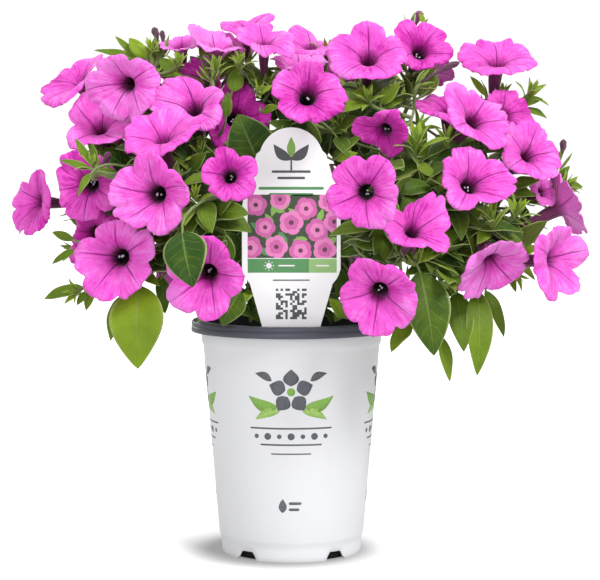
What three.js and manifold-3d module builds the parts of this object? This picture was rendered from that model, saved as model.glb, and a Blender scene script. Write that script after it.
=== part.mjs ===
// A petunia in full bloom in a round nursery pot, with its plant label.
// Millimetres, +Z up. The origin is on the pot's axis, at the level that the pot stands on.
// The front, where the label looks, is towards -Y, and +X is to the right of someone who reads the label.

import * as THREE from "three";
import { mergeVertices } from "three/addons/utils/BufferGeometryUtils.js";
import Module from "manifold-3d";

const manifold = await Module();
manifold.setup();

// The pot
const potHeight = 130;
const wall = 0.9;
const rimRadius = 56;
const rimHeight = 6.2;
const bodyTopRadius = 49.3;
const bodyBottomRadius = 40.5;
const footRadius = 39;
const footHeight = 7.5;
const ledgeHeight = 3.5;
const shoulderDepth = 8;
const shoulderStep = 1;
const floorHeight = 6;
const drain = { angles: [-39, 39, 141, 219], width: 11.5, topWidth: 8, height: 4.2, depth: 12 };
const turnSegments = 40;
const bend = { foot: 0.3, floor: 1, lip: 1, fold: 0.6, shoulder: 2.5 };

// The root ball and its potting soil
const soilTop = 119;
const soilEdge = 117.5;
const soilFlat = 0.6;
const clearance = 0.3;
const slitGap = 0.6;
const leafGap = 0.6;

// The plant label: half widths at heights above the standing level, from its point to its shoulder
const label = {
  forward: 43,
  thickness: 0.8,
  centre: 0.1,
  stake: [[0, 78], [4, 86], [6.5, 97], [15.5, 128.8], [22.3, 152.7], [25.2, 156.5], [26.5, 160.5]],
  side: [[26.5, 192], [25.6, 199], [18.6, 223]],
  headRadius: 17.2,
  headTurns: { first: 10, step: 20 },
  top: 236.4,
};

// Where the plant is looked at from, in front of the pot and a little above it.
// A place given as seenAt is a point in that view, 600 wide and 580 high, from its top left corner.
const eye = { distance: 1092, height: 220.6, side: 4.8, pitch: 3.89, focal: 1956, centre: [300, 290] };

// Stems: the main shoots rise from the crown at the middle of the soil and arch outwards.
// A root is the turn round the pot's axis and the distance from it at which the shoot leaves the soil.
const shootRadius = { root: 2.1, tip: 1.2 };
const stalkRadius = { start: 1.0, end: 0.9, calyx: 2.3 };
const shootRings = { steps: 9, sides: 6 };
const stalkRings = { steps: 5, sides: 5 };
const shootRise = 8;
const stalkReach = 18;
const stalkPull = { start: 0.35, end: 0.4 };

// The parts of a shoot that bear flowers and leaves, in shares of its length
const bearing = { flowers: 0.3, leaves: 0.15, last: 0.97, step: 0.01 };

// Leaves: half widths along the blade from its base to its tip, in shares of the leaf's half width
const leafBlade = {
  widths: [[0, 0.16], [0.14, 0.66], [0.32, 0.97], [0.5, 0.96], [0.7, 0.68], [0.88, 0.28]],
  thickness: 1,
  stalk: 1,
  fold: 0.12,
  arch: 0.12,
  samples: 90,
};

// Flowers, in shares of the flower's own radius
const corolla = {
  throat: 0.22,
  rimRise: 0.42,
  lobeRise: 0.38,
  notch: 0.87,
  shoulder: 0.975,
  pit: 0.35,
  backThroat: 0.27,
  backDrop: 0.12,
  tubeLength: 1.08,
  tubeRadius: 0.1,
};

// Colours and finishes
const finish = {
  pot: { color: 0xe2e4e6, roughness: 0.42 },
  soil: { color: 0x2a211b, roughness: 0.95 },
  label: { color: 0xf2f2f2, roughness: 0.35 },
  stem: { color: 0x6c8a3c, roughness: 0.6 },
  leaf: { color: 0x4c7234, roughness: 0.6 },
  petal: { color: 0xe85ad0, roughness: 0.6 },
};

const shoots = [
  { name: "shoot_left", root: [178, 10], points: [[-38, 4, 150], [-80, 12, 166], [-112, 14, 158]] },
  { name: "shoot_front_left", root: [222, 10], points: [[-30, -24, 150], [-58, -46, 168], [-76, -66, 158]] },
  { name: "shoot_top_left", root: [160, 4.5], points: [[-22, 4, 165], [-52, 4, 215], [-78, -2, 246]] },
  { name: "shoot_top", root: [90, 5], points: [[-2, 8, 170], [-4, 4, 222], [-6, 0, 258]] },
  { name: "shoot_top_right", root: [20, 4.5], points: [[22, 6, 168], [50, 2, 218], [66, -8, 252]] },
  { name: "shoot_front_right", root: [318, 10], points: [[32, -22, 150], [58, -42, 170], [76, -66, 166]] },
  { name: "shoot_right", root: [2, 10], points: [[40, 0, 156], [84, -4, 186], [116, -10, 192]] },
  { name: "shoot_back_right", root: [52, 10], points: [[26, 34, 158], [48, 62, 186], [62, 80, 190]] },
  { name: "shoot_back_left", root: [128, 10], points: [[-26, 34, 156], [-50, 60, 180], [-66, 78, 180]] },
];

// Flowers. turn is where the mouth looks: 0 towards the viewer, positive to the viewer's right.
// lift is how far it looks up. forward is the throat's distance in front of the pot's axis.
const flowers = [
  { name: "flower_01", seenAt: [43, 202], forward: -20, width: 38, turn: -56, lift: -2 },
  { name: "flower_02", seenAt: [91, 184], forward: 30, width: 35, turn: -13, lift: -8 },
  { name: "flower_03", seenAt: [98, 233], forward: 6, width: 38, turn: -15, lift: -18 },
  { name: "flower_04", seenAt: [158, 194], forward: 84, width: 44, turn: -18, lift: 0 },
  { name: "flower_05", seenAt: [121, 257], forward: 68, width: 45, turn: -12, lift: -9 },
  { name: "flower_06", seenAt: [129, 84], forward: 32, width: 38, turn: -20, lift: -15 },
  { name: "flower_07", seenAt: [83, 88], forward: -2, width: 41, turn: -54, lift: 44 },
  { name: "flower_08", seenAt: [101, 132], forward: 14, width: 38, turn: -12, lift: 32 },
  { name: "flower_09", seenAt: [195, 112], forward: 36, width: 44, turn: -22, lift: 38 },
  { name: "flower_10", seenAt: [164, 145], forward: 62, width: 40, turn: -10, lift: 55 },
  { name: "flower_12", seenAt: [216, 55], forward: 8, width: 37, turn: 8, lift: 55 },
  { name: "flower_13", seenAt: [247, 33], forward: -22, width: 30, turn: 5, lift: 58 },
  { name: "flower_14", seenAt: [264, 48], forward: 14, width: 34, turn: 0, lift: 62 },
  { name: "flower_15", seenAt: [307, 98], forward: 58, width: 40, turn: -2, lift: 22 },
  { name: "flower_16", seenAt: [310, 52], forward: -22, width: 32, turn: -20, lift: 40 },
  { name: "flower_17", seenAt: [368, 63], forward: 24, width: 42, turn: 6, lift: 38 },
  { name: "flower_18", seenAt: [419, 54], forward: 10, width: 35, turn: 18, lift: 35 },
  { name: "flower_19", seenAt: [496, 69], forward: 6, width: 43, turn: 5, lift: 60 },
  { name: "flower_20", seenAt: [230, 177], forward: 92, width: 30, turn: -8, lift: 14 },
  { name: "flower_21", seenAt: [234, 120], forward: 12, width: 36, turn: 15, lift: 15 },
  { name: "flower_23", seenAt: [366, 192], forward: 106, width: 37, turn: -10, lift: -3 },
  { name: "flower_24", seenAt: [468, 187], forward: 74, width: 40, turn: 27, lift: 24 },
  { name: "flower_25", seenAt: [411, 234], forward: 94, width: 37, turn: 12, lift: 35 },
  { name: "flower_26", seenAt: [380, 290], forward: 102, width: 41, turn: -3, lift: -20 },
  { name: "flower_27", seenAt: [209, 272], forward: 92, width: 43, turn: -6, lift: -17 },
  { name: "flower_28", seenAt: [489, 256], forward: 66, width: 40, turn: 14, lift: -45 },
  { name: "flower_29", seenAt: [545, 260], forward: 52, width: 43, turn: 48, lift: 0 },
  { name: "flower_30", seenAt: [386, 129], forward: 60, width: 25, turn: -35, lift: 0 },
  { name: "flower_31", seenAt: [471, 124], forward: 50, width: 37, turn: 20, lift: 25 },
  { name: "flower_33", seenAt: [502, 117], forward: 18, width: 32, turn: 32, lift: 38 },
  { name: "flower_34", seenAt: [525, 158], forward: 40, width: 37, turn: 30, lift: 28 },
  { name: "flower_35", seenAt: [556, 210], forward: 20, width: 42, turn: 105, lift: 18 },
];

// Flowers on the side that the viewer doesn't see, by their throat's place
const backFlowers = [
  { name: "flower_back_1", at: [-112, 52, 196], width: 40, turn: -118, lift: 8 },
  { name: "flower_back_2", at: [-82, 74, 246], width: 38, turn: -140, lift: 28 },
  { name: "flower_back_3", at: [-62, 100, 168], width: 42, turn: -152, lift: -6 },
  { name: "flower_back_4", at: [-22, 103, 216], width: 40, turn: -172, lift: 14 },
  { name: "flower_back_5", at: [8, 56, 264], width: 38, turn: 170, lift: 52 },
  { name: "flower_back_6", at: [34, 103, 172], width: 41, turn: 168, lift: -8 },
  { name: "flower_back_7", at: [42, 74, 254], width: 40, turn: 158, lift: 40 },
  { name: "flower_back_8", at: [84, 82, 206], width: 42, turn: 142, lift: 8 },
];

// Leaves, each along its midrib from the blade's base to its tip. face is where the upper side looks.
const leaves = [
  { name: "leaf_hanging_left", base: [140, 286], baseForward: 60, tip: [138, 369], tipForward: 72,
    width: 26, face: [-10, 12] },
  { name: "leaf_hanging_right", base: [420, 272], baseForward: 72, tip: [434, 356], tipForward: 82,
    width: 20, face: [6, 16] },
  { name: "leaf_hanging_outer", base: [477, 290], baseForward: 44, tip: [477, 376], tipForward: 56,
    width: 13.5, face: [10, 12] },
  { name: "leaf_over_flower", base: [182, 232], baseForward: 106, tip: [193, 287.5], tipForward: 118,
    width: 20.5, face: [-8, 24] },
  { name: "leaf_left_of_label", base: [212, 219], baseForward: 70, tip: [252, 232], tipForward: 78,
    width: 12, face: [4, 40] },
  { name: "leaf_behind_label", base: [258, 161], baseForward: 36, tip: [238, 114], tipForward: 42,
    width: 22, face: [-10, 20] },
  { name: "leaf_right_of_label", base: [374, 228], baseForward: 66, tip: [329, 236], tipForward: 78,
    width: 10, face: [0, 48] },
];

const degrees = Math.PI / 180;
const group = new THREE.Group();

// A point of the view at a distance in front of the pot's axis
function seen([across, down], forward) {
  const right = (across - eye.centre[0]) / eye.focal;
  const up = (eye.centre[1] - down) / eye.focal;
  const pitch = eye.pitch * degrees;
  const along = Math.cos(pitch) + up * Math.sin(pitch);
  const rise = up * Math.cos(pitch) - Math.sin(pitch);
  const reach = (eye.distance - forward) / along;
  return new THREE.Vector3(eye.side + reach * right, -forward, eye.height + reach * rise);
}

// The direction that lies turn degrees round from the viewer and lift degrees up
function looking(turn, lift) {
  const level = Math.cos(lift * degrees);
  return new THREE.Vector3(
    Math.sin(turn * degrees) * level,
    -Math.cos(turn * degrees) * level,
    Math.sin(lift * degrees),
  );
}

function material({ color, roughness }) {
  return new THREE.MeshStandardMaterial({ color, roughness, metalness: 0 });
}

function addNode(name, geometry, look) {
  const mesh = new THREE.Mesh(geometry, material(look));
  mesh.name = name;
  group.add(mesh);
  return mesh;
}

// The faces between two rings of points. The first ring holds as many points as the second, or twice as many.
function strip(firstStart, firstCount, secondStart, secondCount) {
  const faces = [];
  for (let k = 0; k < firstCount; k += 1) {
    const a = firstStart + k;
    const b = firstStart + ((k + 1) % firstCount);
    const step = firstCount === secondCount ? k : Math.floor(k / 2);
    const c = secondStart + step;
    const d = secondStart + ((step + 1) % secondCount);
    if (firstCount === secondCount) {
      faces.push([a, b, d], [a, d, c]);
    } else if (k % 2 === 0) {
      faces.push([a, b, c], [b, d, c]);
    } else {
      faces.push([a, b, d]);
    }
  }
  return faces;
}

// A closed geometry from rings of points, each joined to the next, with a hub in the middle of either end
function shellOf(rings, startHub, endHub) {
  const points = rings.flat();
  const starts = rings.map((_, i) => rings.slice(0, i).flat().length);
  const faces = [];
  for (let i = 0; i + 1 < rings.length; i += 1) {
    const lower = [starts[i], rings[i].length];
    const upper = [starts[i + 1], rings[i + 1].length];
    if (lower[1] >= upper[1]) {
      faces.push(...strip(...lower, ...upper));
    } else {
      faces.push(...strip(...upper, ...lower).map((face) => face.reverse()));
    }
  }
  const first = rings[0].length;
  const last = rings.at(-1).length;
  for (let k = 0; k < first; k += 1) {
    faces.push([points.length, (k + 1) % first, k]);
  }
  for (let k = 0; k < last; k += 1) {
    faces.push([points.length + 1, starts.at(-1) + k, starts.at(-1) + ((k + 1) % last)]);
  }
  const geometry = new THREE.BufferGeometry().setFromPoints([...points, startHub, endHub]);
  geometry.setIndex(faces.flat());
  return geometry;
}

function solidOf(geometry) {
  const bare = geometry.clone();
  bare.deleteAttribute("normal");
  bare.deleteAttribute("uv");
  const merged = mergeVertices(bare, 1e-4);
  return new manifold.Manifold(new manifold.Mesh({
    numProp: 3,
    vertProperties: new Float32Array(merged.attributes.position.array),
    triVerts: new Uint32Array(merged.index.array),
  }));
}

function geometryOf(solid) {
  const mesh = solid.getMesh();
  const geometry = new THREE.BufferGeometry();
  geometry.setAttribute("position", new THREE.BufferAttribute(mesh.vertProperties, 3));
  geometry.setIndex(new THREE.BufferAttribute(mesh.triVerts, 1));
  return geometry;
}

// A closed round stem along a curve, with its radius given along the way from 0 to 1
function stem(curve, { steps, sides }, radiusAt) {
  const frames = curve.computeFrenetFrames(steps, false);
  const rings = [];
  for (let i = 0; i <= steps; i += 1) {
    const share = i / steps;
    const centre = curve.getPointAt(share);
    const radius = radiusAt(share);
    rings.push(Array.from({ length: sides }, (_, k) => {
      const angle = (k / sides) * 2 * Math.PI;
      return centre.clone()
        .addScaledVector(frames.normals[i], Math.cos(angle) * radius)
        .addScaledVector(frames.binormals[i], Math.sin(angle) * radius);
    }));
  }
  return shellOf(rings, curve.getPointAt(0), curve.getPointAt(1));
}

// The pot: one thin wall with a stepped foot, a raised floor and a rim that is turned over outwards
function potProfile() {
  const bodyBottom = footHeight + ledgeHeight;
  const shoulder = potHeight - rimHeight - shoulderDepth;
  const lip = bodyTopRadius + shoulderStep;
  const rimUnderside = potHeight - bend.lip - clearance;
  return [
    [0, floorHeight - bend.floor],
    [footRadius - wall - bend.foot, floorHeight - bend.floor],
    [footRadius - wall, 0],
    [footRadius, 0],
    [footRadius + bend.foot, footHeight],
    [bodyBottomRadius, bodyBottom],
    [bodyTopRadius, shoulder],
    [lip, shoulder + bend.shoulder],
    [lip, rimUnderside],
    [rimRadius - bend.lip - clearance, rimUnderside],
    [rimRadius - bend.lip, potHeight - rimHeight],
    [rimRadius, potHeight - rimHeight],
    [rimRadius, potHeight - bend.lip],
    [rimRadius - bend.lip, potHeight],
    [lip - wall + bend.fold, potHeight],
    [lip - wall, potHeight - bend.fold],
    [lip - wall, shoulder + bend.shoulder],
    [bodyTopRadius - wall, shoulder - bend.fold],
    [bodyBottomRadius - wall, bodyBottom],
    [footRadius - wall - bend.foot, floorHeight],
    [0, floorHeight],
  ].map(([r, z]) => new THREE.Vector2(r, z));
}

// The upright axis of a lathe is Y, so its solid is turned up onto Z
function turned(profile) {
  return new THREE.LatheGeometry(profile, turnSegments).rotateX(Math.PI / 2);
}

// A drain notch through the foot's edge, wider at the bottom than at the top
function drainNotch(angle) {
  const outline = new THREE.Shape([
    new THREE.Vector2(-drain.width / 2, -1),
    new THREE.Vector2(drain.width / 2, -1),
    new THREE.Vector2(drain.topWidth / 2, drain.height),
    new THREE.Vector2(-drain.topWidth / 2, drain.height),
  ]);
  const block = new THREE.ExtrudeGeometry(outline, { depth: drain.depth, bevelEnabled: false });
  block.rotateX(Math.PI / 2);
  block.translate(0, drain.depth / 2 - footRadius, 0);
  return block.rotateZ(angle * degrees);
}

function makePot() {
  let pot = solidOf(turned(potProfile()));
  drain.angles.forEach((angle) => {
    pot = pot.subtract(solidOf(drainNotch(angle)));
  });
  addNode("pot", geometryOf(pot), finish.pot);
}

// The label's outline: a stake that widens into a panel under a round head
function labelOutline(margin) {
  const side = [...label.stake, ...label.side];
  const right = side.map(([half, height]) => new THREE.Vector2(half + margin, height));
  right[0].set(0, label.stake[0][1] - margin);
  const head = [];
  const centre = label.top - label.headRadius;
  for (let angle = label.headTurns.first; angle < 180; angle += label.headTurns.step) {
    const reach = label.headRadius + margin;
    const turn = angle * degrees;
    head.push(new THREE.Vector2(Math.cos(turn) * reach, centre + Math.sin(turn) * reach));
  }
  const left = right.slice(1).reverse().map((p) => new THREE.Vector2(-p.x, p.y));
  return new THREE.Shape([...right, ...head, ...left]);
}

function labelPlate(margin) {
  const depth = label.thickness + 2 * margin;
  const plate = new THREE.ExtrudeGeometry(labelOutline(margin), { depth, bevelEnabled: false });
  plate.rotateX(Math.PI / 2);
  return plate.translate(label.centre, -label.forward + label.thickness / 2 + margin, 0);
}

// The soil fills the pot up to its shoulder, a little lower at its edge, with a slit for the label's stake
function makeSoil() {
  const bodyBottom = footHeight + ledgeHeight;
  const shoulder = potHeight - rimHeight - shoulderDepth;
  const gap = wall + clearance;
  const profile = [
    [0, floorHeight + clearance],
    [footRadius - gap - bend.foot, floorHeight + clearance],
    [bodyBottomRadius - gap, bodyBottom],
    [bodyTopRadius - gap, shoulder - bend.floor],
    [bodyTopRadius - gap - bend.foot, soilEdge],
    [bodyTopRadius * soilFlat, soilTop],
    [0, soilTop],
  ].map(([r, z]) => new THREE.Vector2(r, z));
  const soil = solidOf(turned(profile)).subtract(solidOf(labelPlate(slitGap)));
  addNode("potting_soil", geometryOf(soil), finish.soil);
}

// The middle line of a main shoot, from the soil to its tip
function shootCurve({ root: [turn, radius], points }) {
  const foot = new THREE.Vector3(
    Math.cos(turn * degrees) * radius,
    Math.sin(turn * degrees) * radius,
    soilTop + clearance,
  );
  const start = foot.clone().add(new THREE.Vector3(0, 0, shootRise));
  return new THREE.CatmullRomCurve3([foot, start, ...points.map((p) => new THREE.Vector3(...p))]);
}

// The place on a curve's outer part that lies nearest to a point
function nearestShare(curve, point, from) {
  let best = { distance: Infinity, share: from };
  for (let share = from; share <= bearing.last; share += bearing.step) {
    const distance = curve.getPointAt(share).distanceTo(point);
    if (distance < best.distance) {
      best = { distance, share };
    }
  }
  return best;
}

function flowerPlace(flower) {
  const throat = flower.at ? new THREE.Vector3(...flower.at) : seen(flower.seenAt, flower.forward);
  const axis = looking(flower.turn, flower.lift);
  const radius = flower.width / 2;
  const base = throat.clone().addScaledVector(axis, -corolla.tubeLength * radius);
  return { throat, axis, radius, base };
}

// A corolla of five joined lobes that narrows into a tube, closed round the throat's pit
function corollaGeometry({ throat, axis, radius }) {
  const lobes = 5;
  const points = lobes * 4;
  const turn = new THREE.Quaternion().setFromUnitVectors(new THREE.Vector3(0, 0, 1), axis);
  const place = (x, y, z) =>
    new THREE.Vector3(x, y, z).multiplyScalar(radius).applyQuaternion(turn).add(throat);
  const ring = (count, radiusOf, heightOf) => Array.from({ length: count }, (_, k) => {
    const angle = (k / count) * 2 * Math.PI;
    const r = radiusOf(k);
    return place(Math.cos(angle) * r, Math.sin(angle) * r, heightOf(k));
  });
  const reach = [corolla.notch, corolla.shoulder, 1, corolla.shoulder];
  const rises = [corolla.rimRise, corolla.rimRise, corolla.lobeRise, corolla.rimRise];
  const rings = [
    ring(points / 2, () => corolla.tubeRadius, () => -corolla.tubeLength),
    ring(points, () => corolla.backThroat, () => -corolla.backDrop),
    ring(points, (k) => reach[k % 4], (k) => rises[k % 4]),
    ring(points, () => corolla.throat, () => 0),
  ];
  return shellOf(rings, place(0, 0, -corolla.tubeLength), place(0, 0, -corolla.pit));
}

// A flower's stalk leaves the nearest shoot and ends in the calyx, just behind the corolla's tube
function stalkCurve(place, curve, share) {
  const start = curve.getPointAt(share);
  const along = curve.getTangentAt(share);
  const end = place.base.clone().addScaledVector(place.axis, -clearance);
  const length = start.distanceTo(end);
  return new THREE.CubicBezierCurve3(
    start,
    start.clone().addScaledVector(along, length * stalkPull.start),
    end.clone().addScaledVector(place.axis, -length * stalkPull.end),
    end,
  );
}

function shootRadiusAt(share) {
  return THREE.MathUtils.lerp(shootRadius.root, shootRadius.tip, share);
}

function stalkRadiusAt(share) {
  const calyxFrom = 0.8;
  const slim = THREE.MathUtils.lerp(stalkRadius.start, stalkRadius.end, share);
  const swell = Math.max(0, (share - calyxFrom) / (1 - calyxFrom));
  return THREE.MathUtils.lerp(slim, stalkRadius.calyx, swell);
}

function makeFlowers(all, places) {
  all.forEach((flower, i) => addNode(flower.name, corollaGeometry(places[i]), finish.petal));
}

function makeShoots(curves, places) {
  const solids = curves.map((curve) => solidOf(stem(curve, shootRings, shootRadiusAt)));
  places.forEach((place) => {
    const behind = place.base.clone().addScaledVector(place.axis, -stalkReach);
    const reach = curves.map((curve) => nearestShare(curve, behind, bearing.flowers));
    const nearest = reach.reduce((a, r, k) => (r.distance < reach[a].distance ? k : a), 0);
    const curve = stalkCurve(place, curves[nearest], reach[nearest].share);
    solids[nearest] = solids[nearest].add(solidOf(stem(curve, stalkRings, stalkRadiusAt)));
  });
  shoots.forEach((shoot, k) => addNode(shoot.name, geometryOf(solids[k]), finish.stem));
}

// How far along a curve a point of it lies
function shareOf(curve, point) {
  const points = curve.getPoints(leafBlade.samples);
  const distances = points.map((p) => p.distanceTo(point));
  return distances.indexOf(Math.min(...distances)) / leafBlade.samples;
}

// A leaf's blade is widest before its middle and runs out to a point, with a slim stalk behind it
function leafGeometry(leaf, curves) {
  const base = seen(leaf.base, leaf.baseForward);
  const tip = seen(leaf.tip, leaf.tipForward);
  const face = looking(...leaf.face);
  const reach = curves.map((curve) => nearestShare(curve, base, bearing.leaves));
  const nearest = reach.reduce((a, r, k) => (r.distance < reach[a].distance ? k : a), 0);
  const joint = curves[nearest].getPointAt(reach[nearest].share);
  const out = base.clone().sub(joint).normalize();
  const start = joint.addScaledVector(out, shootRadiusAt(reach[nearest].share) + leafGap);
  const middle = base.clone().lerp(tip, 0.5).addScaledVector(face, leafBlade.arch * leaf.width);
  const midrib = new THREE.CatmullRomCurve3([start, base, middle, tip]);
  const baseShare = shareOf(midrib, base);
  const blade = leafBlade.widths.map(([share, width]) =>
    [baseShare + (1 - baseShare) * share, width * leaf.width / 2]);
  const stations = [[0, leafBlade.stalk], [baseShare / 2, leafBlade.stalk], ...blade];
  const rings = stations.map(([share, half]) => {
    const centre = midrib.getPoint(share);
    const side = midrib.getTangent(share).cross(face).normalize();
    const up = side.clone().cross(midrib.getTangent(share)).normalize();
    const edgeLift = half > leafBlade.stalk ? leafBlade.fold * half : 0;
    return [
      centre.clone().addScaledVector(side, half).addScaledVector(up, edgeLift),
      centre.clone().addScaledVector(up, -leafBlade.thickness / 2),
      centre.clone().addScaledVector(side, -half).addScaledVector(up, edgeLift),
      centre.clone().addScaledVector(up, leafBlade.thickness / 2),
    ];
  });
  return shellOf(rings, start, tip);
}

function makeLabel() {
  addNode("plant_label", labelPlate(0), finish.label);
}

makePot();
makeSoil();
makeLabel();
const allFlowers = [...flowers, ...backFlowers];
const flowerPlaces = allFlowers.map(flowerPlace);
const shootCurves = shoots.map(shootCurve);
makeShoots(shootCurves, flowerPlaces);
makeFlowers(allFlowers, flowerPlaces);
leaves.forEach((leaf) => addNode(leaf.name, leafGeometry(leaf, shootCurves), finish.leaf));

export default group;
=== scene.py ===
import math
import random
from dataclasses import dataclass, field

import bmesh
import bpy
from bpy.props import FloatProperty, FloatVectorProperty, IntProperty, PointerProperty
from mathutils import Matrix, Vector, noise
from mathutils.kdtree import KDTree


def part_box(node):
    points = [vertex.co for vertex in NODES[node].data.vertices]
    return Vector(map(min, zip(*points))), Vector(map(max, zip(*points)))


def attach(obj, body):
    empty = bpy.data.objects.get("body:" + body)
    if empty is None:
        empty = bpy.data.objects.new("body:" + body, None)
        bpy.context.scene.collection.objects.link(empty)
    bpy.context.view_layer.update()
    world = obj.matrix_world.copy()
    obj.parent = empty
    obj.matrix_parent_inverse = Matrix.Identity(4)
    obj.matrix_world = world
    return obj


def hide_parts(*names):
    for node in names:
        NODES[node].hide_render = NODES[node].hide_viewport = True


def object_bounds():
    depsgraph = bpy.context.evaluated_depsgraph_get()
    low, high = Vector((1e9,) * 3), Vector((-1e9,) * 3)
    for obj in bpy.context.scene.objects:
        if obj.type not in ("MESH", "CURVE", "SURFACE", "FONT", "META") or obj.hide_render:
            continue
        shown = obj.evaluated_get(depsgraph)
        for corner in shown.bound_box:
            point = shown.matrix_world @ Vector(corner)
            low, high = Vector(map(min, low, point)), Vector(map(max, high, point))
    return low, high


bl_info = {
    "name": "Potted petunia",
    "version": (1, 0, 0),
    "blender": (4, 5, 0),
    "location": "3D View > Sidebar > Petunia",
    "description": "A petunia in full bloom in its nursery pot, with its plant label",
    "category": "Add Mesh",
}

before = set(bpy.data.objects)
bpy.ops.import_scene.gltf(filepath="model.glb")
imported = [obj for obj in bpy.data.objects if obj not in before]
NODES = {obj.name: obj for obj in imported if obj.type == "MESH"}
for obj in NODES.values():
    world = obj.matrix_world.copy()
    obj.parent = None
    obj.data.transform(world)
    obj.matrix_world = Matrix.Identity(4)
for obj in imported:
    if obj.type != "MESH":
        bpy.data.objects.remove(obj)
CAD_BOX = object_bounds()
POT_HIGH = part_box("pot")[1]
LABEL_LOW, LABEL_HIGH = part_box("plant_label")
SOIL_LOW, SOIL_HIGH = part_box("potting_soil")

MM = 0.001
FULL_TURN = 2 * math.pi
UP = Vector((0, 0, 1))
PLANT_HEART = Vector((0, 0, 0.185))
GOLDEN_ANGLE = math.radians(137.5)

# The first seed of each set of random draws
SEEDS = dict(anthers=5, calyxes=7, soil=11, small_leaves=17, inner_leaves=19, buds=23, label=29,
             flowers=100, node_leaves=300, seen_leaves=400, shoot_tips=500)

# The pot's levels and the clearances round it, in metres
POT_MOUTH = 0.047
POT_FLOOR = (0.005, 0.006)
POT_FOOT_TOP = 0.0072
POT_LEDGE_TOP = 0.011
POT_SHOULDER = 0.1158
POT_NOTCHES = (-39, 39, 141, -141)
POT_STEPS = 160
SOIL_STEPS = 72
SOIL_FOOT = 0.0375
SOIL_GRAINS = 260
PERLITE_SHARE = 0.3
PRINT_MIDDLE = 0.0835
PRINT_PROUD = 0.00008
PLANT_GAP = 0.002
BOX_MARGIN = 0.004
LOWEST_LEAF = 0.09
LOWEST_BASE = 0.124

# The studio's suns: (name, where its light comes from, spread in degrees)
SUNS = (
    ("key", (0.6, -0.7, 0.95), 20),
    ("top", (-0.1, 0.15, 1.0), 50),
    ("front", (-0.35, -1.0, 0.25), 40),
    ("back", (-0.5, 1.0, 0.5), 40),
)

# Where the plant is looked at from. A place given as (across, down) is a point of that view,
# 600 wide and 580 high, from its top left corner, and forward is millimetres in front of the pot's axis.
VIEW_WIDTH = 600
VIEW_CENTRE = (300, 290)
FOCAL = 1956
EYE = Vector((0.0048, -1.092, 0.2206))
EYE_PITCH = math.radians(3.89)
VIEW_RIGHT = Vector((1, 0, 0))
VIEW_UP = Vector((0, math.sin(EYE_PITCH), math.cos(EYE_PITCH)))
VIEW_AHEAD = Vector((0, math.cos(EYE_PITCH), -math.sin(EYE_PITCH)))

# The corolla in shares of its radius, from the foot of its tube to its rim: (radius, height, reach).
# reach is below 0 in the tube, 0 at the throat and 1 at the rim.
COROLLA = (
    (0.09, -1.07, -1.0), (0.12, -0.85, -0.8), (0.16, -0.6, -0.55), (0.2, -0.36, -0.32),
    (0.218, -0.15, -0.13), (0.236, 0.0, 0.0), (0.28, 0.105, 0.07), (0.348, 0.185, 0.16),
    (0.43, 0.25, 0.27), (0.525, 0.3, 0.39), (0.62, 0.338, 0.51), (0.715, 0.366, 0.635),
    (0.81, 0.388, 0.757), (0.9, 0.402, 0.872), (0.96, 0.406, 0.949), (1.0, 0.4, 1.0),
)
LOBES = 5
STEPS_PER_LOBE = 16

# In shares of a corolla's radius too: how far its throat stands before its node's pit, how far its tube
# reaches behind the throat, how far its rim rises before it, and the size of an anther. Anthers stand in
# the throats whose eye is at least OPEN_EYE.
THROAT_TO_PIT = 0.35
TUBE_LENGTH = 1.08
RIM_RISE = 0.42
ANTHERS = 3
ANTHER_SIZE = (0.027, 0.022, 0.036)
OPEN_EYE = 0.7

# A bud's outline as (radius, height), in shares of half its width and of its length, and the radius that
# stands for it in metres where its calyx is made
BUD_STEPS = 20
BUD_CALYX = 0.01
BUD_PROFILE = (
    (0.0, 0.0), (0.3, 0.0), (0.34, 0.2), (0.42, 0.42), (0.62, 0.58), (0.9, 0.72), (1.0, 0.82),
    (0.8, 0.91), (0.42, 0.97), (0.0, 1.0),
)

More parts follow.
